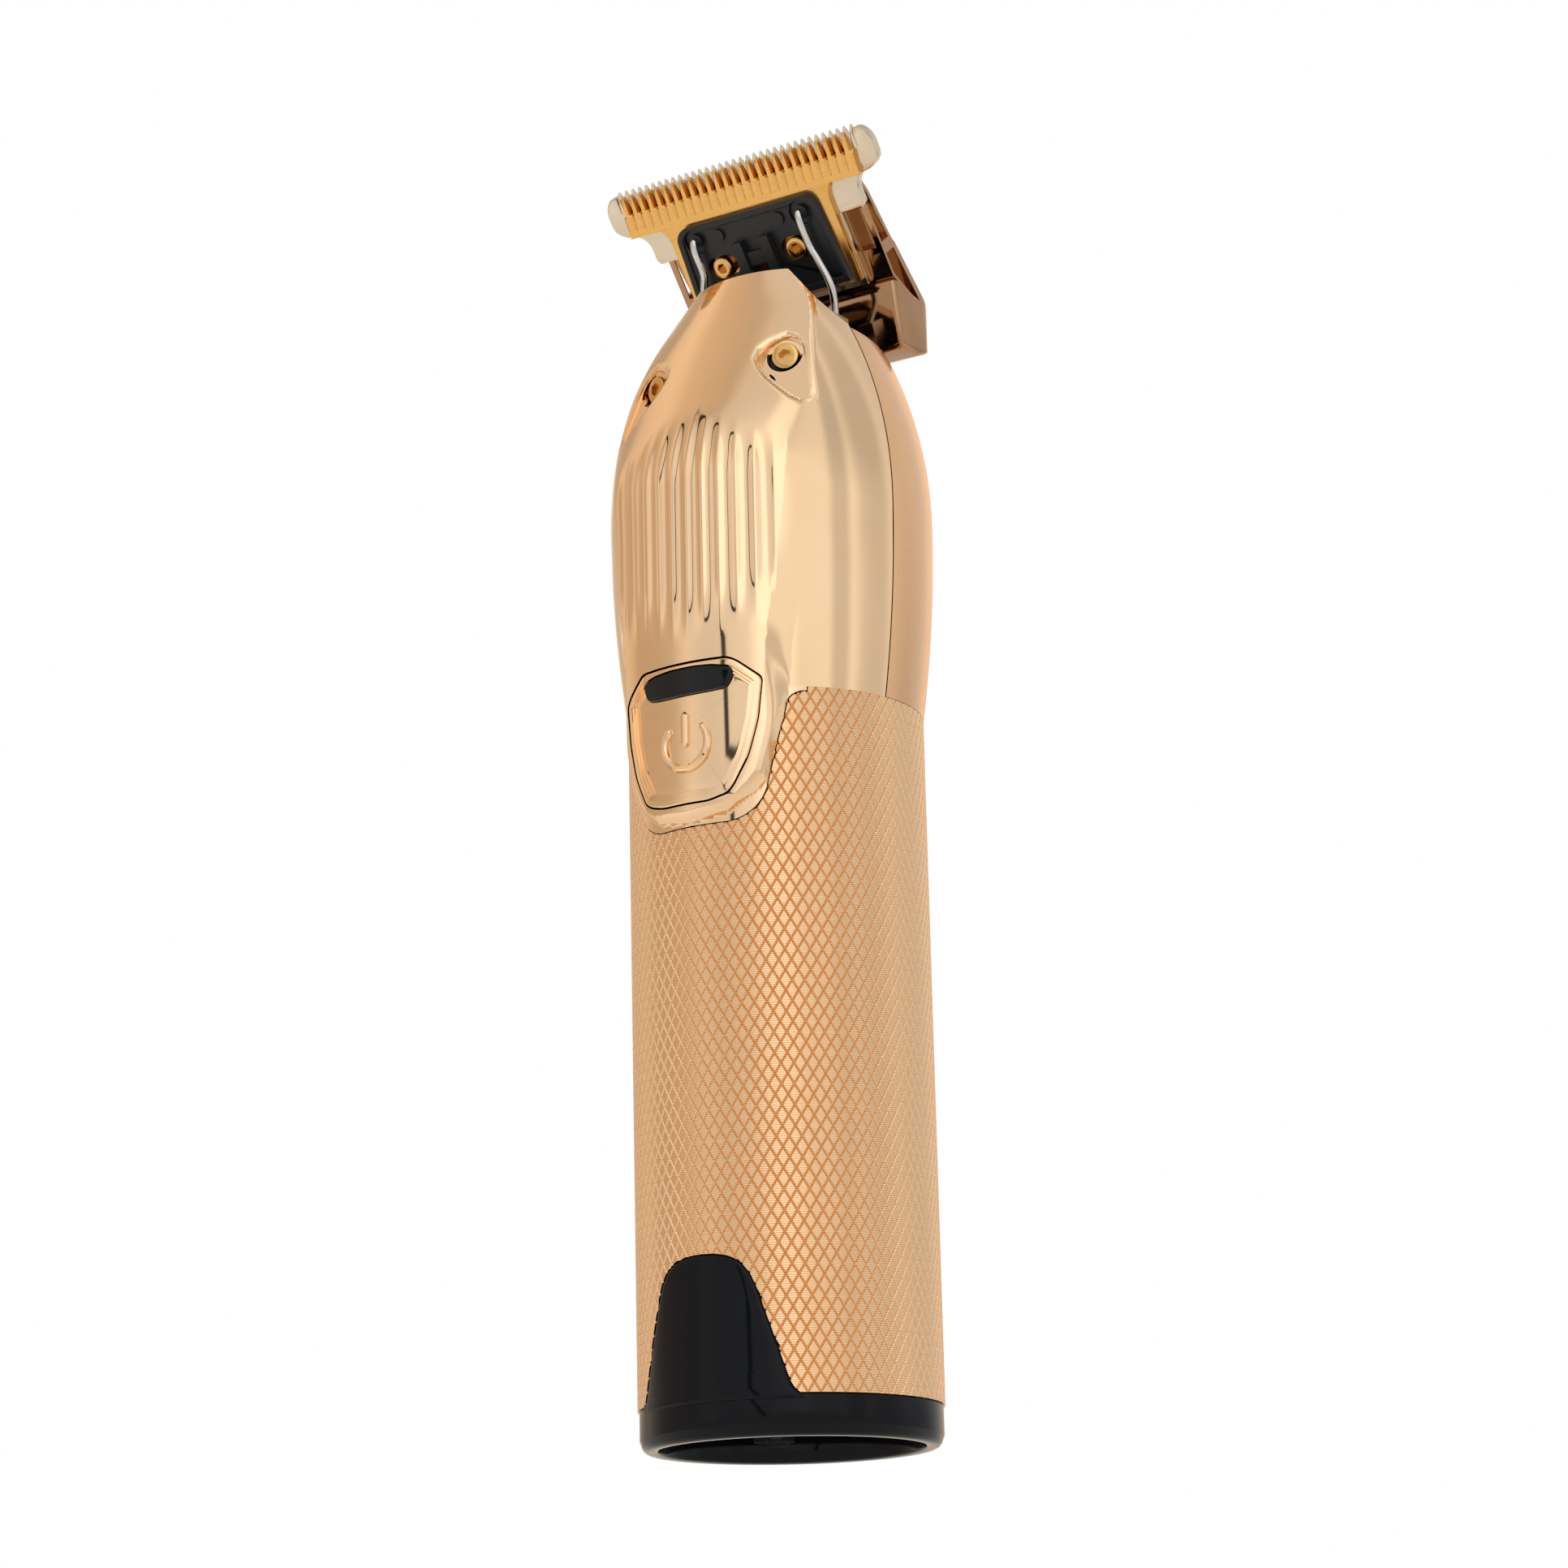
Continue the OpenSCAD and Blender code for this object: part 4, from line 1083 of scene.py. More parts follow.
    def close(self, piece: bpy.types.Object) -> None:
        """Trims the knurl to length and closes it with the bore.

        Args:
            piece: The knurl as a plain mesh, open at both ends.
        """
        bm = bmesh.new()
        bm.from_mesh(piece.data)
        for z, way in ((self.high, 1), (self.low, -1)):
            bmesh.ops.bisect_plane(bm, geom=bm.verts[:] + bm.edges[:] + bm.faces[:], dist=1e-7,
                                   plane_co=(0, 0, z * MM), plane_no=(0, 0, way), clear_outer=True)
        bmesh.ops.remove_doubles(bm, verts=bm.verts, dist=2e-6)
        rims = [e for e in bm.edges if e.is_boundary]
        made = bmesh.ops.extrude_edge_only(bm, edges=rims)["geom"]
        for vert in (v for v in made if isinstance(v, bmesh.types.BMVert)):
            r = math.hypot(vert.co.x, vert.co.y)
            vert.co.x *= self.bore * MM / r
            vert.co.y *= self.bore * MM / r
        inner = [e for e in bm.edges if e.is_boundary]
        bmesh.ops.bridge_loops(bm, edges=inner)
        bmesh.ops.recalc_face_normals(bm, faces=bm.faces)
        bm.to_mesh(piece.data)
        bm.free()


class Base:
    """Gloss black base cap with its tongue, socket plate and jack ring."""

    def build(self) -> None:
        """Builds the cap and the plate inside it."""
        profile = [(17.2, 13), (18.0 - 0.2, 13), (17.8, 5.0), (18.6, 5.0), (18.78, 4.85), (18.8, 4.6),
                   (18.8, 1.35),
                   (18.74, 1.2), (18.66, 1.05), (18.5, 0.5), (18.2, 0.15), (17.9, 0.0), (16.9, 0.0),
                   (16.6, 0.12),
                   (16.5, 0.4), (16.5, 4.5), (17.2, 4.9)]
        cap = revolve("base_cap_gloss", profile, 192)
        half = [(11.9, 4.3), (11.5, 4.9)] + BASE_TONGUE[1:]
        outline = resample(anticlockwise(mirrored(half)), 0.35)
        tongue = pad("base_tongue", outline, front_plane(19.0),
                     [(0.0, -0.25), (0.06, -0.12), (0.2, -0.03), (0.45, 0.0)], -1.6)
        carve(cap, tongue, "UNION")
        settle(smooth(cap, 32), GLOSS_BLACK, Body.HANDLE, "black_gloss", "base_cap")
        plate = revolve("socket_plate_gloss", [(2.9, 3.1), (4.5, 3.1), (4.75, 3.25), (4.8, 3.5), (4.8, 4.2),
                                               (5.1, 4.5),
                                               (16.45, 4.5), (16.45, 5.9), (2.9, 5.9)], 96)
        for x, y in ((8.5, 8.5), (-8.5, 8.5), (9.5, -6), (-9.5, -6)):
            turn = np.linspace(0, 2 * math.pi, 32, endpoint=False)
            post = prism("post", np.stack([x + 2.6 * np.cos(turn), y + 2.6 * np.sin(turn)], 1),
                         from_above, 2.2, 5.0)
            carve(plate, post, "UNION")
        # Painted light: the socket plate's black ABS is lightened to charcoal inside the shaded recess.
        settle(smooth(plate, 32), GLOSS_ABS_PAINTED_LIGHT, Body.HANDLE, "black_gloss", "socket_plate")


@dataclass
class Button:
    """Power button with its stepped frame, raised mark and lens."""

    radius: float = 20.85

    def build(self) -> None:
        """Builds the button and the lens."""
        place = front_plane(self.radius)
        outline = inset(resample(anticlockwise(resample(WINDOW, 0.3, 3)), 0.3), 0.18)
        profile = [(0.0, -0.3), (0.08, -0.08), (0.22, 0.0), (0.85, 0.0), (0.98, -0.26), (1.24, -0.22),
                   (1.36, -0.46),
                   (1.6, -0.42), (1.74, -0.7), (1.95, -0.72)]
        piece = pad("power_button_polished", outline, place, profile, -1.9)
        lens_cut = resample(anticlockwise(LENS_OUT), 0.4)
        carve(piece, prism("lens_cut", inset(lens_cut, -0.06), from_front, 10, 40))
        lift = -0.64
        bar = [(0.0, z) for z in np.linspace(85.9, 89.6, 9)]
        arc_path = arc((0, 85.9), 3.2, -218, 38, 36)
        for k, path in enumerate((bar, arc_path)):
            x, z = np.array(path).T
            carve(piece, sweep(f"mark_{k}", place(x, z, lift), 0.54, 12), "UNION")
        settle(smooth(piece, 28), MIRROR_GOLD, Body.BUTTON, "gold_mirror", "power_button")
        lens = pad("indicator_lens_smoked", lens_cut, front_plane(20.7),
                   [(0.0, -0.15), (0.1, -0.03), (0.3, 0.0), (0.42, -0.02), (0.46, -0.06)], -1.5)
        settle(smooth(lens, 30), LENS, Body.BUTTON, "lens_black", "indicator_lens")


def row_tree(name: str) -> bpy.types.NodeTree:
    """Builds the tree that repeats a tooth along the edge of a blade.

    Args:
        name: Name of the tree.

    Returns:
        The node tree.
    """
    tree, given = node_tree(name, {"Count": "Int", "Pitch": "Float", "Start": "Float", "Finish": "Material"})
    out = given.outputs
    start = add_node(tree, "ShaderNodeCombineXYZ", {0: out["Start"]})
    step = add_node(tree, "ShaderNodeCombineXYZ", {0: out["Pitch"]})
    line = add_node(tree, "GeometryNodeMeshLine", {"Count": out["Count"], "Start Location": start.outputs[0],
                                                   "Offset": step.outputs[0]})
    copies = add_node(tree, "GeometryNodeInstanceOnPoints",
                      {"Points": line.outputs[0], "Instance": out["Geometry"]})
    real = add_node(tree, "GeometryNodeRealizeInstances", {0: copies.outputs[0]})
    dressed = add_node(tree, "GeometryNodeSetMaterial",
                       {"Geometry": real.outputs[0], "Material": out["Finish"]})
    add_node(tree, "NodeGroupOutput", {0: dressed.outputs[0]})
    return tree


def repeat_row(tooth: bpy.types.Object, count: int, pitch: float, finish: Finish) -> bpy.types.Object:
    """Repeats one tooth evenly about the middle of the blade.

    Args:
        tooth: Tooth at the middle.
        count: Number of teeth.
        pitch: Distance between teeth.
        finish: Surface of the blade.

    Returns:
        The whole row as one mesh.
    """
    many = tooth.modifiers.new("row", "NODES")
    many.node_group = row_tree(tooth.name + "_row")
    set_input(many, {"Count": count, "Pitch": pitch * MM, "Start": -pitch * (count - 1) / 2 * MM,
                     "Finish": finish.build()})
    return bake(tooth)


def round_edges(piece: bpy.types.Object, width: float, segments: int = 3,
                angle: float = 35) -> bpy.types.Object:
    """Rounds the sharp edges of a block by a width in millimetres."""
    edge = piece.modifiers.new("edge", "BEVEL")
    edge.width, edge.segments = width * MM, segments
    edge.limit_method, edge.angle_limit = "ANGLE", math.radians(angle)
    return bake(piece)


@dataclass
class FixedBlade:
    """Polished fixed blade behind the cutter, with its end lobes.

    Attributes:
        teeth: Number of teeth.
        pitch: Distance between teeth.
        low: Lift of the underside.
        high: Lift of the face.
        root: Height of the tooth roots up the blade.
    """

    teeth: int = 35
    pitch: float = 1.097
    low: float = -0.6
    high: float = 1.0
    root: float = 8.7

    def build(self) -> bpy.types.Object:
        """Builds the plate and its row of thin teeth.

        Returns:
            The finished blade.
        """
        stations = ((8.4, 0.33, -0.6, 1.0), (9.6, 0.29, -0.6, 0.98), (10.6, 0.2, -0.35, 0.8),
                    (11.4, 0.08, 0.0, 0.3))
        rows = []
        for s, half, low, high in stations:
            ring = np.array([(-half, low), (half, low), (half, high - 0.1), (half * 0.5, high),
                             (-half * 0.5, high),
                             (-half, high - 0.1)])
            rows.append(on_blade(ring[:, 0], np.full(6, s), ring[:, 1]))
        faces = grid_faces(len(rows), 6, ring=True) + [list(range(6))[::-1], [18 + j for j in range(6)]]
        tooth = mend(make_object("fixed_blade_teeth", np.concatenate(rows), faces), 1e-5)
        repeat_row(tooth, self.teeth, self.pitch, BLADE_STEEL)
        half = [(12.9, -9.5), (12.9, 0.6), (16.2, 0.6), (16.6, 1.2)] + arc((19.0, 2.8), 2.4, 180, 100, 10)
        half += [(19.4, 5.25), (20.4, 5.8), (21.0, 6.4), (21.2, 7.2), (21.2, 8.8), (21.0, 9.6), (20.6, 10.3),
                 (20.0, 10.85), (19.2, 11.0), (18.95, 10.4), (18.95, self.root)]
        plate = round_edges(prism("fixed_blade_polished", mirrored(half), on_blade, self.low, self.high),
                            0.16, 2)
        carve(plate, tooth, "UNION")
        return settle(smooth(plate, 25), BLADE_STEEL, Body.HANDLE, "blade_gold_steel", "fixed_blade")


def across(s: np.ndarray, h: np.ndarray, lift: float) -> np.ndarray:
    """Places a side outline of the blade frame, with the lift across the head."""
    return on_blade(np.full_like(s, lift), s, h)


def from_above(x: np.ndarray, y: np.ndarray, lift: float) -> np.ndarray:
    """Places outline points seen from above at a height."""
    return np.stack([x, y, np.full_like(x, lift)], 1)


def side_plane(y: np.ndarray, z: np.ndarray, lift: float) -> np.ndarray:
    """Places a side outline of depth and height, with the lift across the head."""
    return np.stack([np.full_like(y, lift), y, z], 1)


@dataclass
class Bracket:
    """Polished bracket that holds the fixed blade on the head.

    Attributes:
        half: Half of its width.
        rim: Width of the rim round the side recesses; not used.
        sink: Depth of the side recesses.
    """

    half: float = 16.0
    rim: float = 0.8
    sink: float = 1.5

    def build(self) -> bpy.types.Object:
        """Builds the wedge, the heel and the foot, and cuts the recesses.

        Returns:
            The finished bracket.
        """
        wedge = np.array([(4.6, -0.62), (-9.5, -0.62), (-14, -3.2), (-17.0, -5.8), (-17.2, -6.05),
                          (-16.4, -5.95),
                          (-6.0, -4.1), (-5.4, -3.75), (2.0, -2.6), (4.0, -1.8), (4.6, -1.6)])
        piece = round_edges(prism("blade_bracket_polished", wedge, across, -self.half, self.half), 0.3)
        heel = np.array([(6.3, 152.7), (7.2, 148), (8.4, 143.6), (12.4, 143.6), (15.2, 144.6), (16.2, 146.8),
                         (16.3, 147.6), (15.6, 150.0), (11.5, 153.5)])
        carve(piece, round_edges(prism("heel", heel, side_plane, -self.half, self.half), 0.8, 4), "UNION")
        back, r = 16.4, 3.0
        plan = [(self.half + 1, -30.0), (self.half + 1, 5.0),
                (self.half, 6.0)] + arc((self.half - r, back - r), r, 0, 90, 8)
        carve(piece, prism("plan", anticlockwise(mirrored(plan)), from_above, 130, 175), "INTERSECT")
        foot = np.array([(8.7, 138.65), (12.6, 138.65), (12.6, 149), (8.7, 149)])
        carve(piece, prism("foot", foot, side_plane, -7.2, 7.2), "UNION")
        upper = np.array([(3.3, -0.9), (-4.9, -0.9), (-4.9, -2.95), (1.8, -1.85), (3.3, -1.35)])
        lower = np.array([(-6.5, -0.9), (-9.3, -0.9), (-13.3, -3.2), (-14.8, -4.55), (-6.5, -3.2)])
        for side in (1, -1):
            for outline, sink in ((upper, self.sink), (lower, 0.9)):
                deep = sorted((side * (self.half - sink), side * (self.half + 2)))
                carve(piece, prism("side_recess", outline, across, *deep))
            ledge = [(13.0, -5.4), (15.1, -5.4), (15.1, 0.4), (13.0, 0.4)]
            ring = anticlockwise(np.array([(side * x, s) for x, s in ledge]))
            carve(piece, prism("front_recess", ring, on_blade, -2.1, 1))
        # Painted shade: the bracket's gold is darkened to stand for the dark reflections and shadow on its
        # walls.
        return settle(smooth(piece, 30), SHADED_BRACKET_GOLD, Body.HANDLE, "gold_mirror", "blade_bracket")


@dataclass
class Cutter:
    """Moving blade with bevelled teeth.

    Attributes:
        teeth: Number of teeth.
        pitch: Distance between teeth.
        low: Lift of the underside.
        high: Lift of the face.
        tip: Height of the tips up the blade.
    """

    teeth: int = 27
    pitch: float = 1.36
    low: float = 1.03
    high: float = 2.03
    tip: float = 10.9

    def tooth(self) -> bpy.types.Object:
        """Builds one tooth with a ridge along it.

        Returns:
            The tooth as a mesh object.
        """
        stations = ((5.2, 0.5, 0.679, 0.0, 0.0), (5.9, 0.5, 0.679, 0.0, 0.0), (6.3, 0.5, 0.5, 0.08, 0.02),
                    (8.1, 0.5, 0.3, 0.3, 0.14), (8.4, 0.66, 0.3, 1.0, 0.18), (9.4, 0.54, 0.26, 1.0, 0.32),
                    (10.4, 0.4, 0.18, 1.0, 0.48), (self.tip, 0.24, 0.08, 1.0, 0.62))
        rows = []
        for s, wide, flat, groove, fall in stations:
            top = self.high - fall
            valley = self.high - groove * (self.high - self.low)
            edge = self.pitch / 2 if s < 8.3 else wide
            top += 0.015
            ring = [(-edge, self.low), (edge, self.low), (edge, max(valley, self.low + 0.06)), (flat, top),
                    (0.0, top + (0.03 if s > 6 else 0.0)), (-flat, top),
                    (-edge, max(valley, self.low + 0.06))]
            rows.append(on_blade(np.array([r[0] for r in ring]), np.full(7, s),
                                 np.array([r[1] for r in ring])))
        points = np.concatenate(rows)
        faces = grid_faces(len(rows), 7, ring=True)
        faces += [list(range(7))[::-1], [(len(rows) - 1) * 7 + j for j in range(7)]]
        return mend(make_object("moving_blade_teeth", points, faces), 1e-5)

    def build(self) -> bpy.types.Object:
        """Builds the teeth in a row and joins them to the stem.

        Returns:
            The finished cutter.
        """
        row = repeat_row(self.tooth(), self.teeth, self.pitch, NITRIDE)
        half = [(12.7, -8.5)] + arc((15.7, 3.0), 3, 180, 90, 10) + [(18.36, 6.0)]
        stem = prism("moving_blade_stem", mirrored([(12.7, -8.5)] + half[1:]), on_blade, self.low, self.high)
        round_edges(stem, 0.12, 2)
        carve(stem, row, "UNION")
        stem.name = "moving_blade_nitride"
        return settle(smooth(stem, 25), NITRIDE, Body.BLADE, "blade_gold", "moving_blade")


@dataclass
class Carrier:
    """Black nylon carrier on the moving blade, with its yoke."""

    base: float = 2.03
    thick: float = 1.1
    hook_at: tuple[float, float] = (8.4, 2.7)
    hook_radius: float = 1.75
    boss_radius: float = 0.95
    screw_at: tuple[float, float] = (5.9, -1.7)
    slot_reach: float = 0.75
    slot_radius: float = 1.62

    def build(self) -> bpy.types.Object:
        """Builds the plate with raised rims, hook pockets and the yoke for the drive pin.

        Returns:
            The finished carrier.
        """
        half = [(11.9, -7.9), (11.2, 2.8)] + arc((9.2, 2.8), 2.0, 0, 90, 8)
        outline = resample(anticlockwise(mirrored(half)), 0.4)
        top = self.base + self.thick
        piece = pad("blade_carrier_nylon", outline, on_blade,
                    [(0.0, top - 0.2), (0.06, top - 0.06), (0.2, top), (0.75, top), (0.85, top - 0.04),
                     (0.95, top - 0.3)], self.base + 0.01)
        for side in (1, -1):
            wall = [(side * x, s) for x, s in ((1.44, -7.2), (2.84, -7.2), (2.84, 1.2), (1.44, 1.2))]
            carve(piece, prism("yoke_wall", anticlockwise(np.array(wall)), on_blade, self.base + 0.2,
                               top + 0.9), "UNION")
            hook = (side * self.hook_at[0], self.hook_at[1])
            ring = np.array(arc(hook, self.hook_radius, 0, 360, 28)[:-1])
            carve(piece, prism("hook_pocket", ring, on_blade, self.base + 0.4, top + 2))
            boss = np.array(arc(hook, self.boss_radius, 0, 360, 20)[:-1])
            carve(piece, prism("hook_boss", boss, on_blade, self.base + 0.3, top - 0.1), "UNION")
            x, y = side * self.screw_at[0], self.screw_at[1]
            hole = np.array(arc((x + self.slot_reach, y), self.slot_radius, -90, 90, 14)
                            + arc((x - self.slot_reach, y), self.slot_radius, 90, 270, 14))
            carve(piece, prism("screw_hole", hole, on_blade, self.base - 1, top + 2))
        cross = [(-1.6, -2.4), (1.6, -2.4), (1.6, -0.5), (-1.6, -0.5)]
        carve(piece, prism("yoke_bar", np.array(cross), on_blade, self.base + 0.2, top + 0.45), "UNION")
        slot = [(-1.42, -9.0), (1.42, -9.0), (1.42, -2.42), (-1.42, -2.42)]
        carve(piece, prism("pin_slot", np.array(slot), on_blade, self.base - 0.5, top + 2))
        return settle(smooth(piece, 30), SATIN_BLACK, Body.BLADE, "black_matte", "blade_carrier")


def screw_set(name: str, diameter: float, height: float,
              sites: Sequence[tuple[Vector, Vector]]) -> bpy.types.Object:
    """Builds hex socket screws at their places.

    Args:
        name: Name of the piece.
        diameter: Diameter of the head.
        height: Height of the head.
        sites: Place and facing of each screw, in millimetres.

    Returns:
        One mesh object with every screw.
    """
    r = diameter / 2
    profile = [(r * 0.5, -2.2), (r * 0.5, 0.0), (r - 0.08, 0.0), (r, 0.08), (r, height - 0.3),
               (r - 0.1, height - 0.09), (r - 0.32, height), (0.6 * r, height), (0.001, height)]
    steps = 48
    turn = np.linspace(0, 2 * math.pi, steps, endpoint=False)
    rows = [[(q * math.cos(a), q * math.sin(a), z) for a in turn] for q, z in profile]
    points = np.array(rows).reshape(-1, 3)
    faces = grid_faces(len(profile), steps, ring=True) + [list(range(steps))[::-1]]
    head = mend(make_object(name + "_one", points, faces), 0.01)
    hexagon = np.array([(0.5 * r * math.cos(a), 0.5 * r * math.sin(a)) for a in np.radians(np.arange(6)
            * 60)])
    carve(head, prism("hex_cut", hexagon, from_above,
                      height - 0.9, height + 1))
    smooth(head, 30)
    piece = make_object(name, np.array([np.array(at) for at, _ in sites]), [])
    facing = piece.data.attributes.new("facing", "FLOAT_VECTOR", "POINT")
    facing.data.foreach_set("vector", np.array([np.array(n) for _, n in sites]).ravel())
    tree, given = node_tree(name + "_tree", {"Screw": "Object", "Finish": "Material"})
    out = given.outputs
    named = add_node(tree, "GeometryNodeInputNamedAttribute", {"Name": "facing"}, data_type="FLOAT_VECTOR")
    turn_to = add_node(tree, "FunctionNodeAlignRotationToVector", {"Vector": named.outputs[0]}, axis="Z")
    model = add_node(tree, "GeometryNodeObjectInfo", {"Object": out["Screw"]})
    copies = add_node(tree, "GeometryNodeInstanceOnPoints",
                      {"Points": out["Geometry"], "Rotation": turn_to.outputs[0],
                                                             "Instance": model.outputs["Geometry"]})
    real = add_node(tree, "GeometryNodeRealizeInstances", {0: copies.outputs[0]})
    dressed = add_node(tree, "GeometryNodeSetMaterial",
                       {"Geometry": real.outputs[0], "Material": out["Finish"]})
    add_node(tree, "NodeGroupOutput", {0: dressed.outputs[0]})
    repeat = piece.modifiers.new("screws", "NODES")
    repeat.node_group = tree
    set_input(repeat, {"Screw": head, "Finish": SCREW_GOLD.build()})
    bake(piece)
    bpy.data.objects.remove(head)
    return piece


@dataclass
class Fixings:
    """Screws, springs and their places on the head."""

    cover_head: float = 3.6
    cover_rise: float = 0.6
    blade_head: float = 3.0
    blade_rise: float = 1.3
    blade_screw_at: tuple[float, float, float] = (5.9, -1.7, 2.05)
    wire_radius: float = 0.5

    def build(self) -> None:
        """Builds the cover screws, the blade screws and the two springs."""
        sites = [(Vector((side * SCREW_AT[0], SCREW_AT[1], SCREW_AT[2])),
                  Vector((side * math.sin(SCREW_TURN), -math.cos(SCREW_TURN), 0))) for side in (1, -1)]
        piece = screw_set("cover_screws_hex", self.cover_head, self.cover_rise,
                          [(at - facing * 1.0, facing) for at, facing in sites])
        settle(piece, SCREW_GOLD, Body.HANDLE, "gold_screw", "cover_screws")
        out = Vector((0, -0.7826, -0.6225))
        x, s, lift = self.blade_screw_at
        places = [Vector(on_blade(np.array([side * x]), np.array([s]), lift)[0]) for side in (1, -1)]
        piece = screw_set("blade_screws_hex", self.blade_head, self.blade_rise, [(at, out) for at in places])
        settle(piece, SCREW_GOLD, Body.HANDLE, "gold_screw", "blade_screws")
        route = [(8.4, 2.7, 2.7), (8.4, 2.7, 3.6), (8.45, 1.4, 4.03), (8.5, -1.6, 4.03), (9.2, -3.8, 4.53),
                 (10.2, -7.6, 5.63), (9.2, -12.5, 6.43)]
        for label, side in (("right", 1), ("left", -1)):
            smooth_path = spline(route, 10)
            path = on_blade(side * smooth_path[:, 0], smooth_path[:, 1], smooth_path[:, 2])
            wire = smooth(sweep(f"tension_spring_{label}", path, self.wire_radius, 14), 50)
            wire.data.materials.append(SPRING_STEEL.build())
            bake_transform(wire)
            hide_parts("tension_spring")


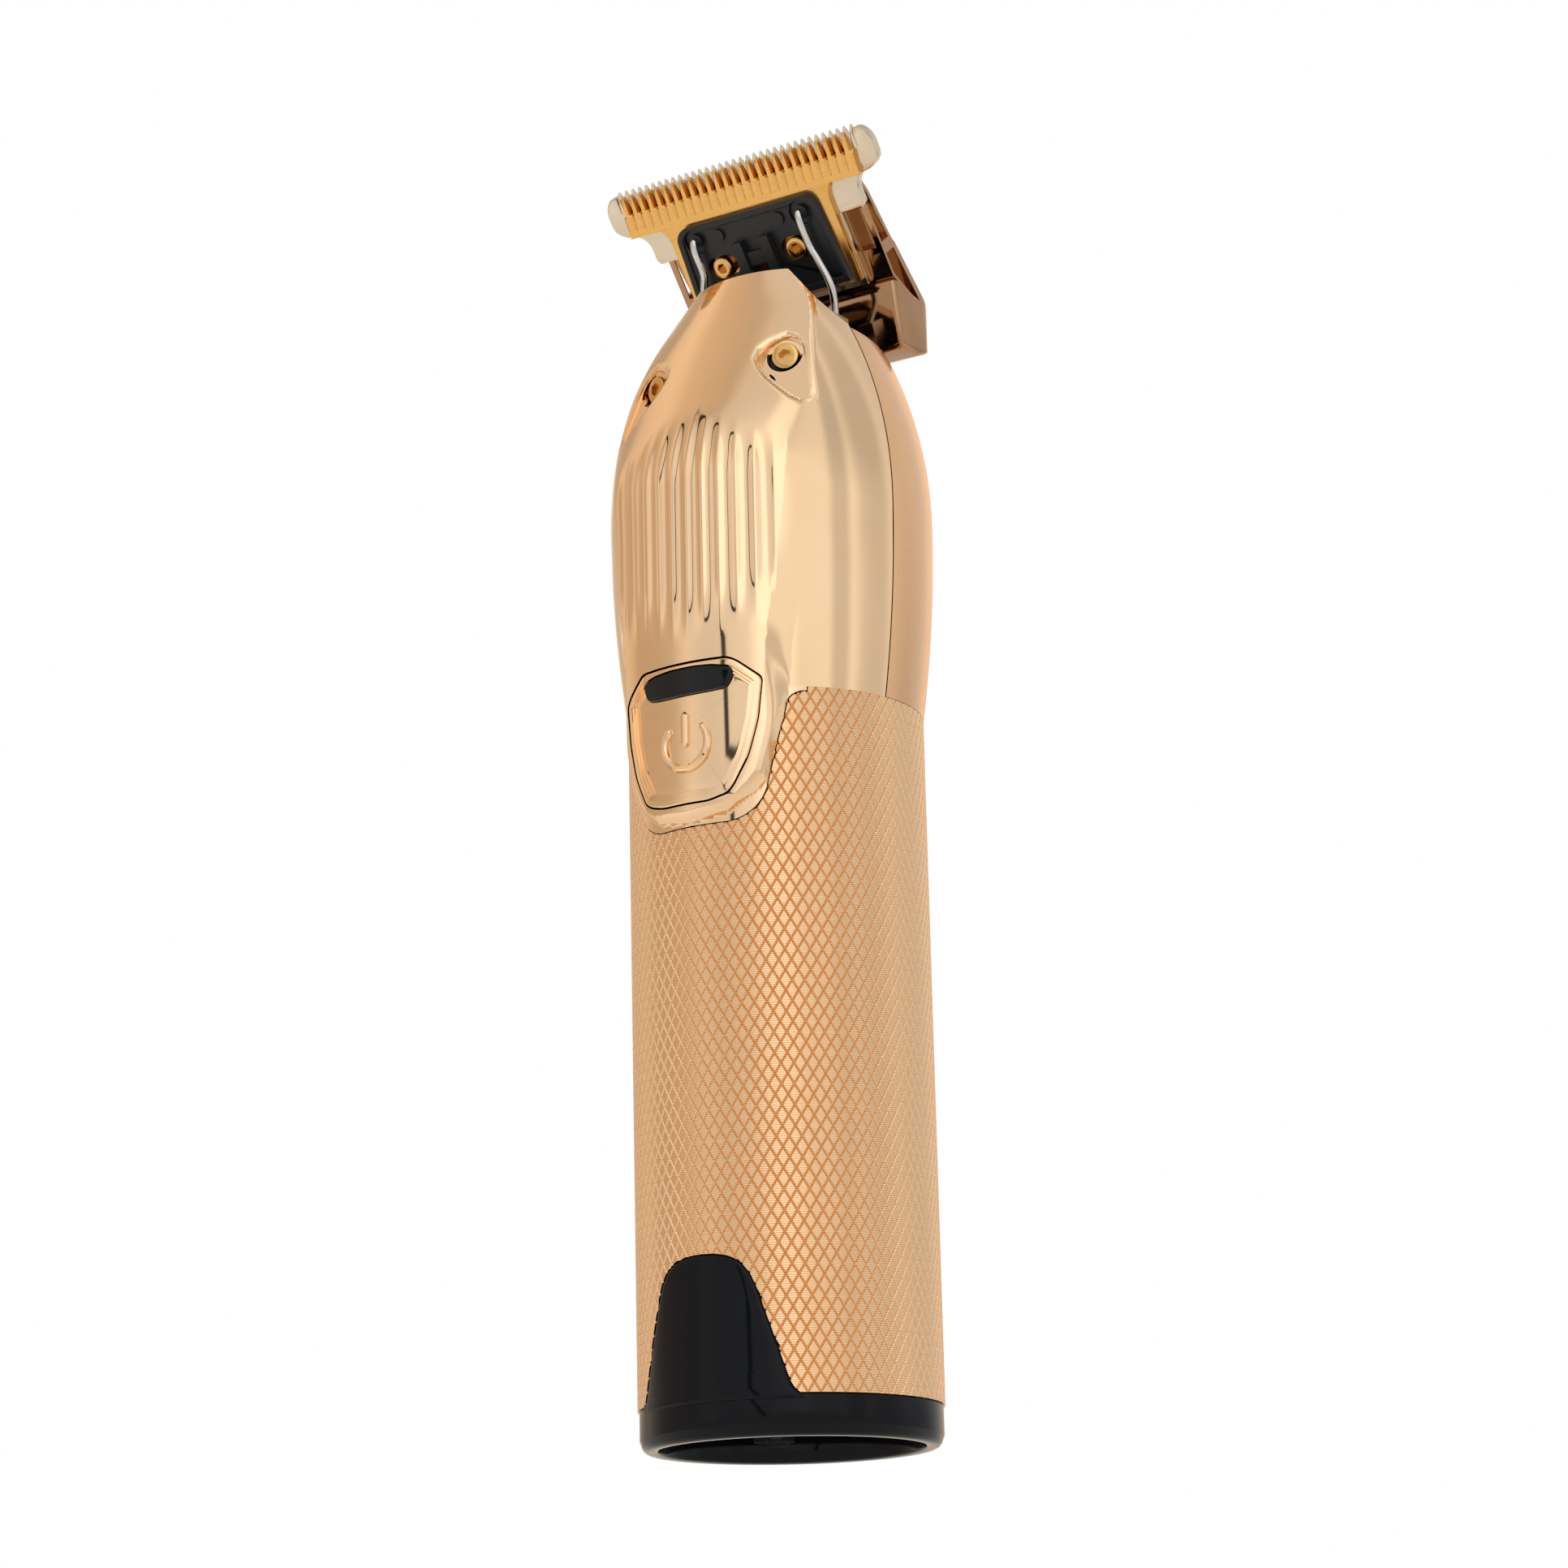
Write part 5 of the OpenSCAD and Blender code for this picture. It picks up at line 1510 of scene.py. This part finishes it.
@dataclass
class Studio:
    """Camera, lights, backdrop and the uneven white tent that gold reflects."""

    azimuth: float = math.radians(34)
    fall: float = math.radians(14.8)
    roll: float = math.radians(-1.33)
    distance: float = 535.0
    aim: tuple[float, float, float] = (1.04, 0.0, 84.75)
    lens: float = 95.8
    sensor: float = 36.0
    floor_half: float = 2e3
    floor_level: float = -300.0
    seam: tuple[float, float, float] = (-0.828, -0.126, -0.547)
    seam_end: float = -0.49
    slits: tuple[tuple[float, float, float, float], ...] = (
        (34.0, 7.0, 14.0, -0.4), (84.0, 3.0, 8.0, 0.3), (112.0, 8.0, 12.0, 0.2),
        (-60.0, 14.0, 18.0, 0.25), (-118.0, 8.0, 10.0, 0.3), (158.0, 14.0, 20.0, 0.25))

    def axes(self) -> tuple[np.ndarray, np.ndarray, np.ndarray]:
        """Right, up and back directions of the camera.

        Returns:
            Three unit vectors: right, up and back.
        """
        a, e = self.azimuth, self.fall
        back = np.array([math.sin(a) * math.cos(e), -math.cos(a) * math.cos(e), -math.sin(e)])
        right = np.array([math.cos(a), math.sin(a), 0.0])
        up = np.cross(back, right)
        c, s = math.cos(self.roll), math.sin(self.roll)
        return c * right + s * up, -s * right + c * up, back

    def camera(self) -> None:
        """Places the camera."""
        right, up, back = self.axes()
        data = bpy.data.cameras.new("camera")
        data.lens, data.sensor_width = self.lens, self.sensor
        data.clip_start, data.clip_end = 0.01, 50.0
        view = bpy.data.objects.new("camera", data)
        place = (np.array(self.aim) + back * self.distance) * MM
        view.matrix_world = Matrix(np.column_stack([right, up, back]).tolist()).to_4x4()
        view.location = Vector(place)
        bpy.context.scene.collection.objects.link(view)
        bpy.context.scene.camera = view

    def lamp(self, name: str, azimuth: float, height: float, away: float, size: tuple[float, float],
             power: float) -> None:
        """Places a large soft lamp that faces the object.

        Args:
            name: Name of the lamp.
            azimuth: Direction from the object, in degrees from its front.
            height: Height in metres.
            away: Distance in metres.
            size: Width and height in metres.
            power: Power in watts.
        """
        data = bpy.data.lights.new(name, "AREA")
        data.shape, data.size, data.size_y, data.energy = "RECTANGLE", size[0], size[1], power
        lamp = bpy.data.objects.new(name, data)
        a = math.radians(azimuth)
        place = Vector((away * math.sin(a), -away * math.cos(a), height))
        lamp.location, lamp.visible_glossy = place, False
        lamp.rotation_euler = (Vector((0, 0, 0.09)) - place).to_track_quat("-Z", "Y").to_euler()
        bpy.context.scene.collection.objects.link(lamp)

    def build(self) -> None:
        """Builds the whole studio."""
        self.camera()
        half, level = self.floor_half, self.floor_level
        corners = [(-half, -half, level), (half, -half, level), (half, half, level), (-half, half, level)]
        floor = make_object("floor", np.array(corners), [[0, 1, 2, 3]])
        floor.data.materials.append(FLOOR.build())
        world = bpy.data.worlds.new("studio")
        bpy.context.scene.world = world
        world.use_nodes = True
        tree = world.node_tree
        tree.nodes.clear()
        add_node(tree, "ShaderNodeOutputWorld", {"Surface": self.sky(tree)})
        bpy.context.scene.view_settings.view_transform = "Standard"
        self.lamp("key", -45, 0.6, 1.2, (0.9, 0.9), 6)
        self.lamp("rim", 120, 0.4, 1.2, (0.5, 0.9), 4)

    def sky(self, tree: bpy.types.NodeTree) -> bpy.types.NodeSocket:
        """Builds the white tent round the object: plain to the eye, uneven in reflections.

        Args:
            tree: Node tree of the world.

        Returns:
            Shader output of the tent.
        """
        way = add_node(tree, "ShaderNodeTexCoord").outputs["Generated"]
        xyz = add_node(tree, "ShaderNodeSeparateXYZ", {0: way}).outputs
        turn = math_node(tree, "ARCTAN2", xyz[0], math_node(tree, "MULTIPLY", xyz[1], -1.0))
        light = add_node(tree, "ShaderNodeMapRange", {0: xyz[2], 1: -0.7, 2: 0.0, 3: 0.3, 4: 1.0},
                         interpolation_type="SMOOTHSTEP").outputs[0]
        side = add_node(tree, "ShaderNodeVectorMath", {0: way, 1: self.seam},
                        operation="DOT_PRODUCT").outputs["Value"]
        past = math_node(tree, "LESS_THAN", xyz[0], self.seam_end)
        off = math_node(tree, "ADD", math_node(tree, "ABSOLUTE", side), past)
        off = math_node(tree, "ADD", off, math_node(tree, "GREATER_THAN", xyz[1], 0.2))
        gap = add_node(tree, "ShaderNodeMapRange", {0: off, 1: 0.016, 2: 0.03, 3: 0.03, 4: 1.0},
                       interpolation_type="SMOOTHSTEP").outputs[0]
        light = math_node(tree, "MULTIPLY", light, gap)
        for centre, half, soft, depth in self.slits:
            off = math_node(tree, "ABSOLUTE", math_node(tree, "SUBTRACT", turn, math.radians(centre)))
            dark = add_node(tree, "ShaderNodeMapRange",
                            {0: off, 1: math.radians(half), 2: math.radians(half + soft),
                            3: 1 - depth, 4: 1.0}, interpolation_type="SMOOTHSTEP").outputs[0]
            light = math_node(tree, "MULTIPLY", light, dark)
        cloud = add_node(tree, "ShaderNodeTexNoise", {"Vector": way, "Scale": 1.6, "Detail": 0.0}).outputs[0]
        light = math_node(tree, "MULTIPLY", light,
                          add_node(tree, "ShaderNodeMapRange", {0: cloud, 1: 0.3, 2: 0.7,
                                                            3: 0.82, 4: 1.12}).outputs[0])
        warm = add_node(tree, "ShaderNodeMapRange",
                        {0: turn, 1: math.radians(-70), 2: math.radians(-5), 3: 1.0, 4: 0.0},
                        interpolation_type="SMOOTHSTEP").outputs[0]
        seen = add_node(tree, "ShaderNodeLightPath").outputs["Is Camera Ray"]
        level = add_node(tree, "ShaderNodeMix", {0: seen, 2: light, 3: 1.0}).outputs[0]
        unseen = math_node(tree, "SUBTRACT", 1.0, seen)
        tint = add_node(tree, "ShaderNodeMix", {0: math_node(tree, "MULTIPLY", warm, unseen), 6: (1, 1, 1, 1),
                                                7: linear("FFE9CF")}, data_type="RGBA").outputs[2]
        return add_node(tree, "ShaderNodeBackground", {"Color": tint, "Strength": level}).outputs[0]


def dress_nodes() -> None:
    """Gives each carried-over CAD node its finish."""
    for finish, names in NODE_FINISH.items():
        for name in names:
            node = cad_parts[name]
            for slot in node.material_slots:
                slot.material = finish.build()


def main() -> None:
    """Builds every sub-assembly in order."""
    logging.basicConfig(level=logging.INFO, format="%(name)s %(message)s")
    Studio().build()
    dress_nodes()
    covers = Covers(HOUSING)
    covers.front()
    covers.rear()
    Sleeve().build()
    Base().build()
    Button().build()
    FixedBlade().build()
    Bracket().build()
    Cutter().build()
    Carrier().build()
    Fixings().build()


if __name__ == "__main__":
    main()
    bpy.context.view_layer.update()
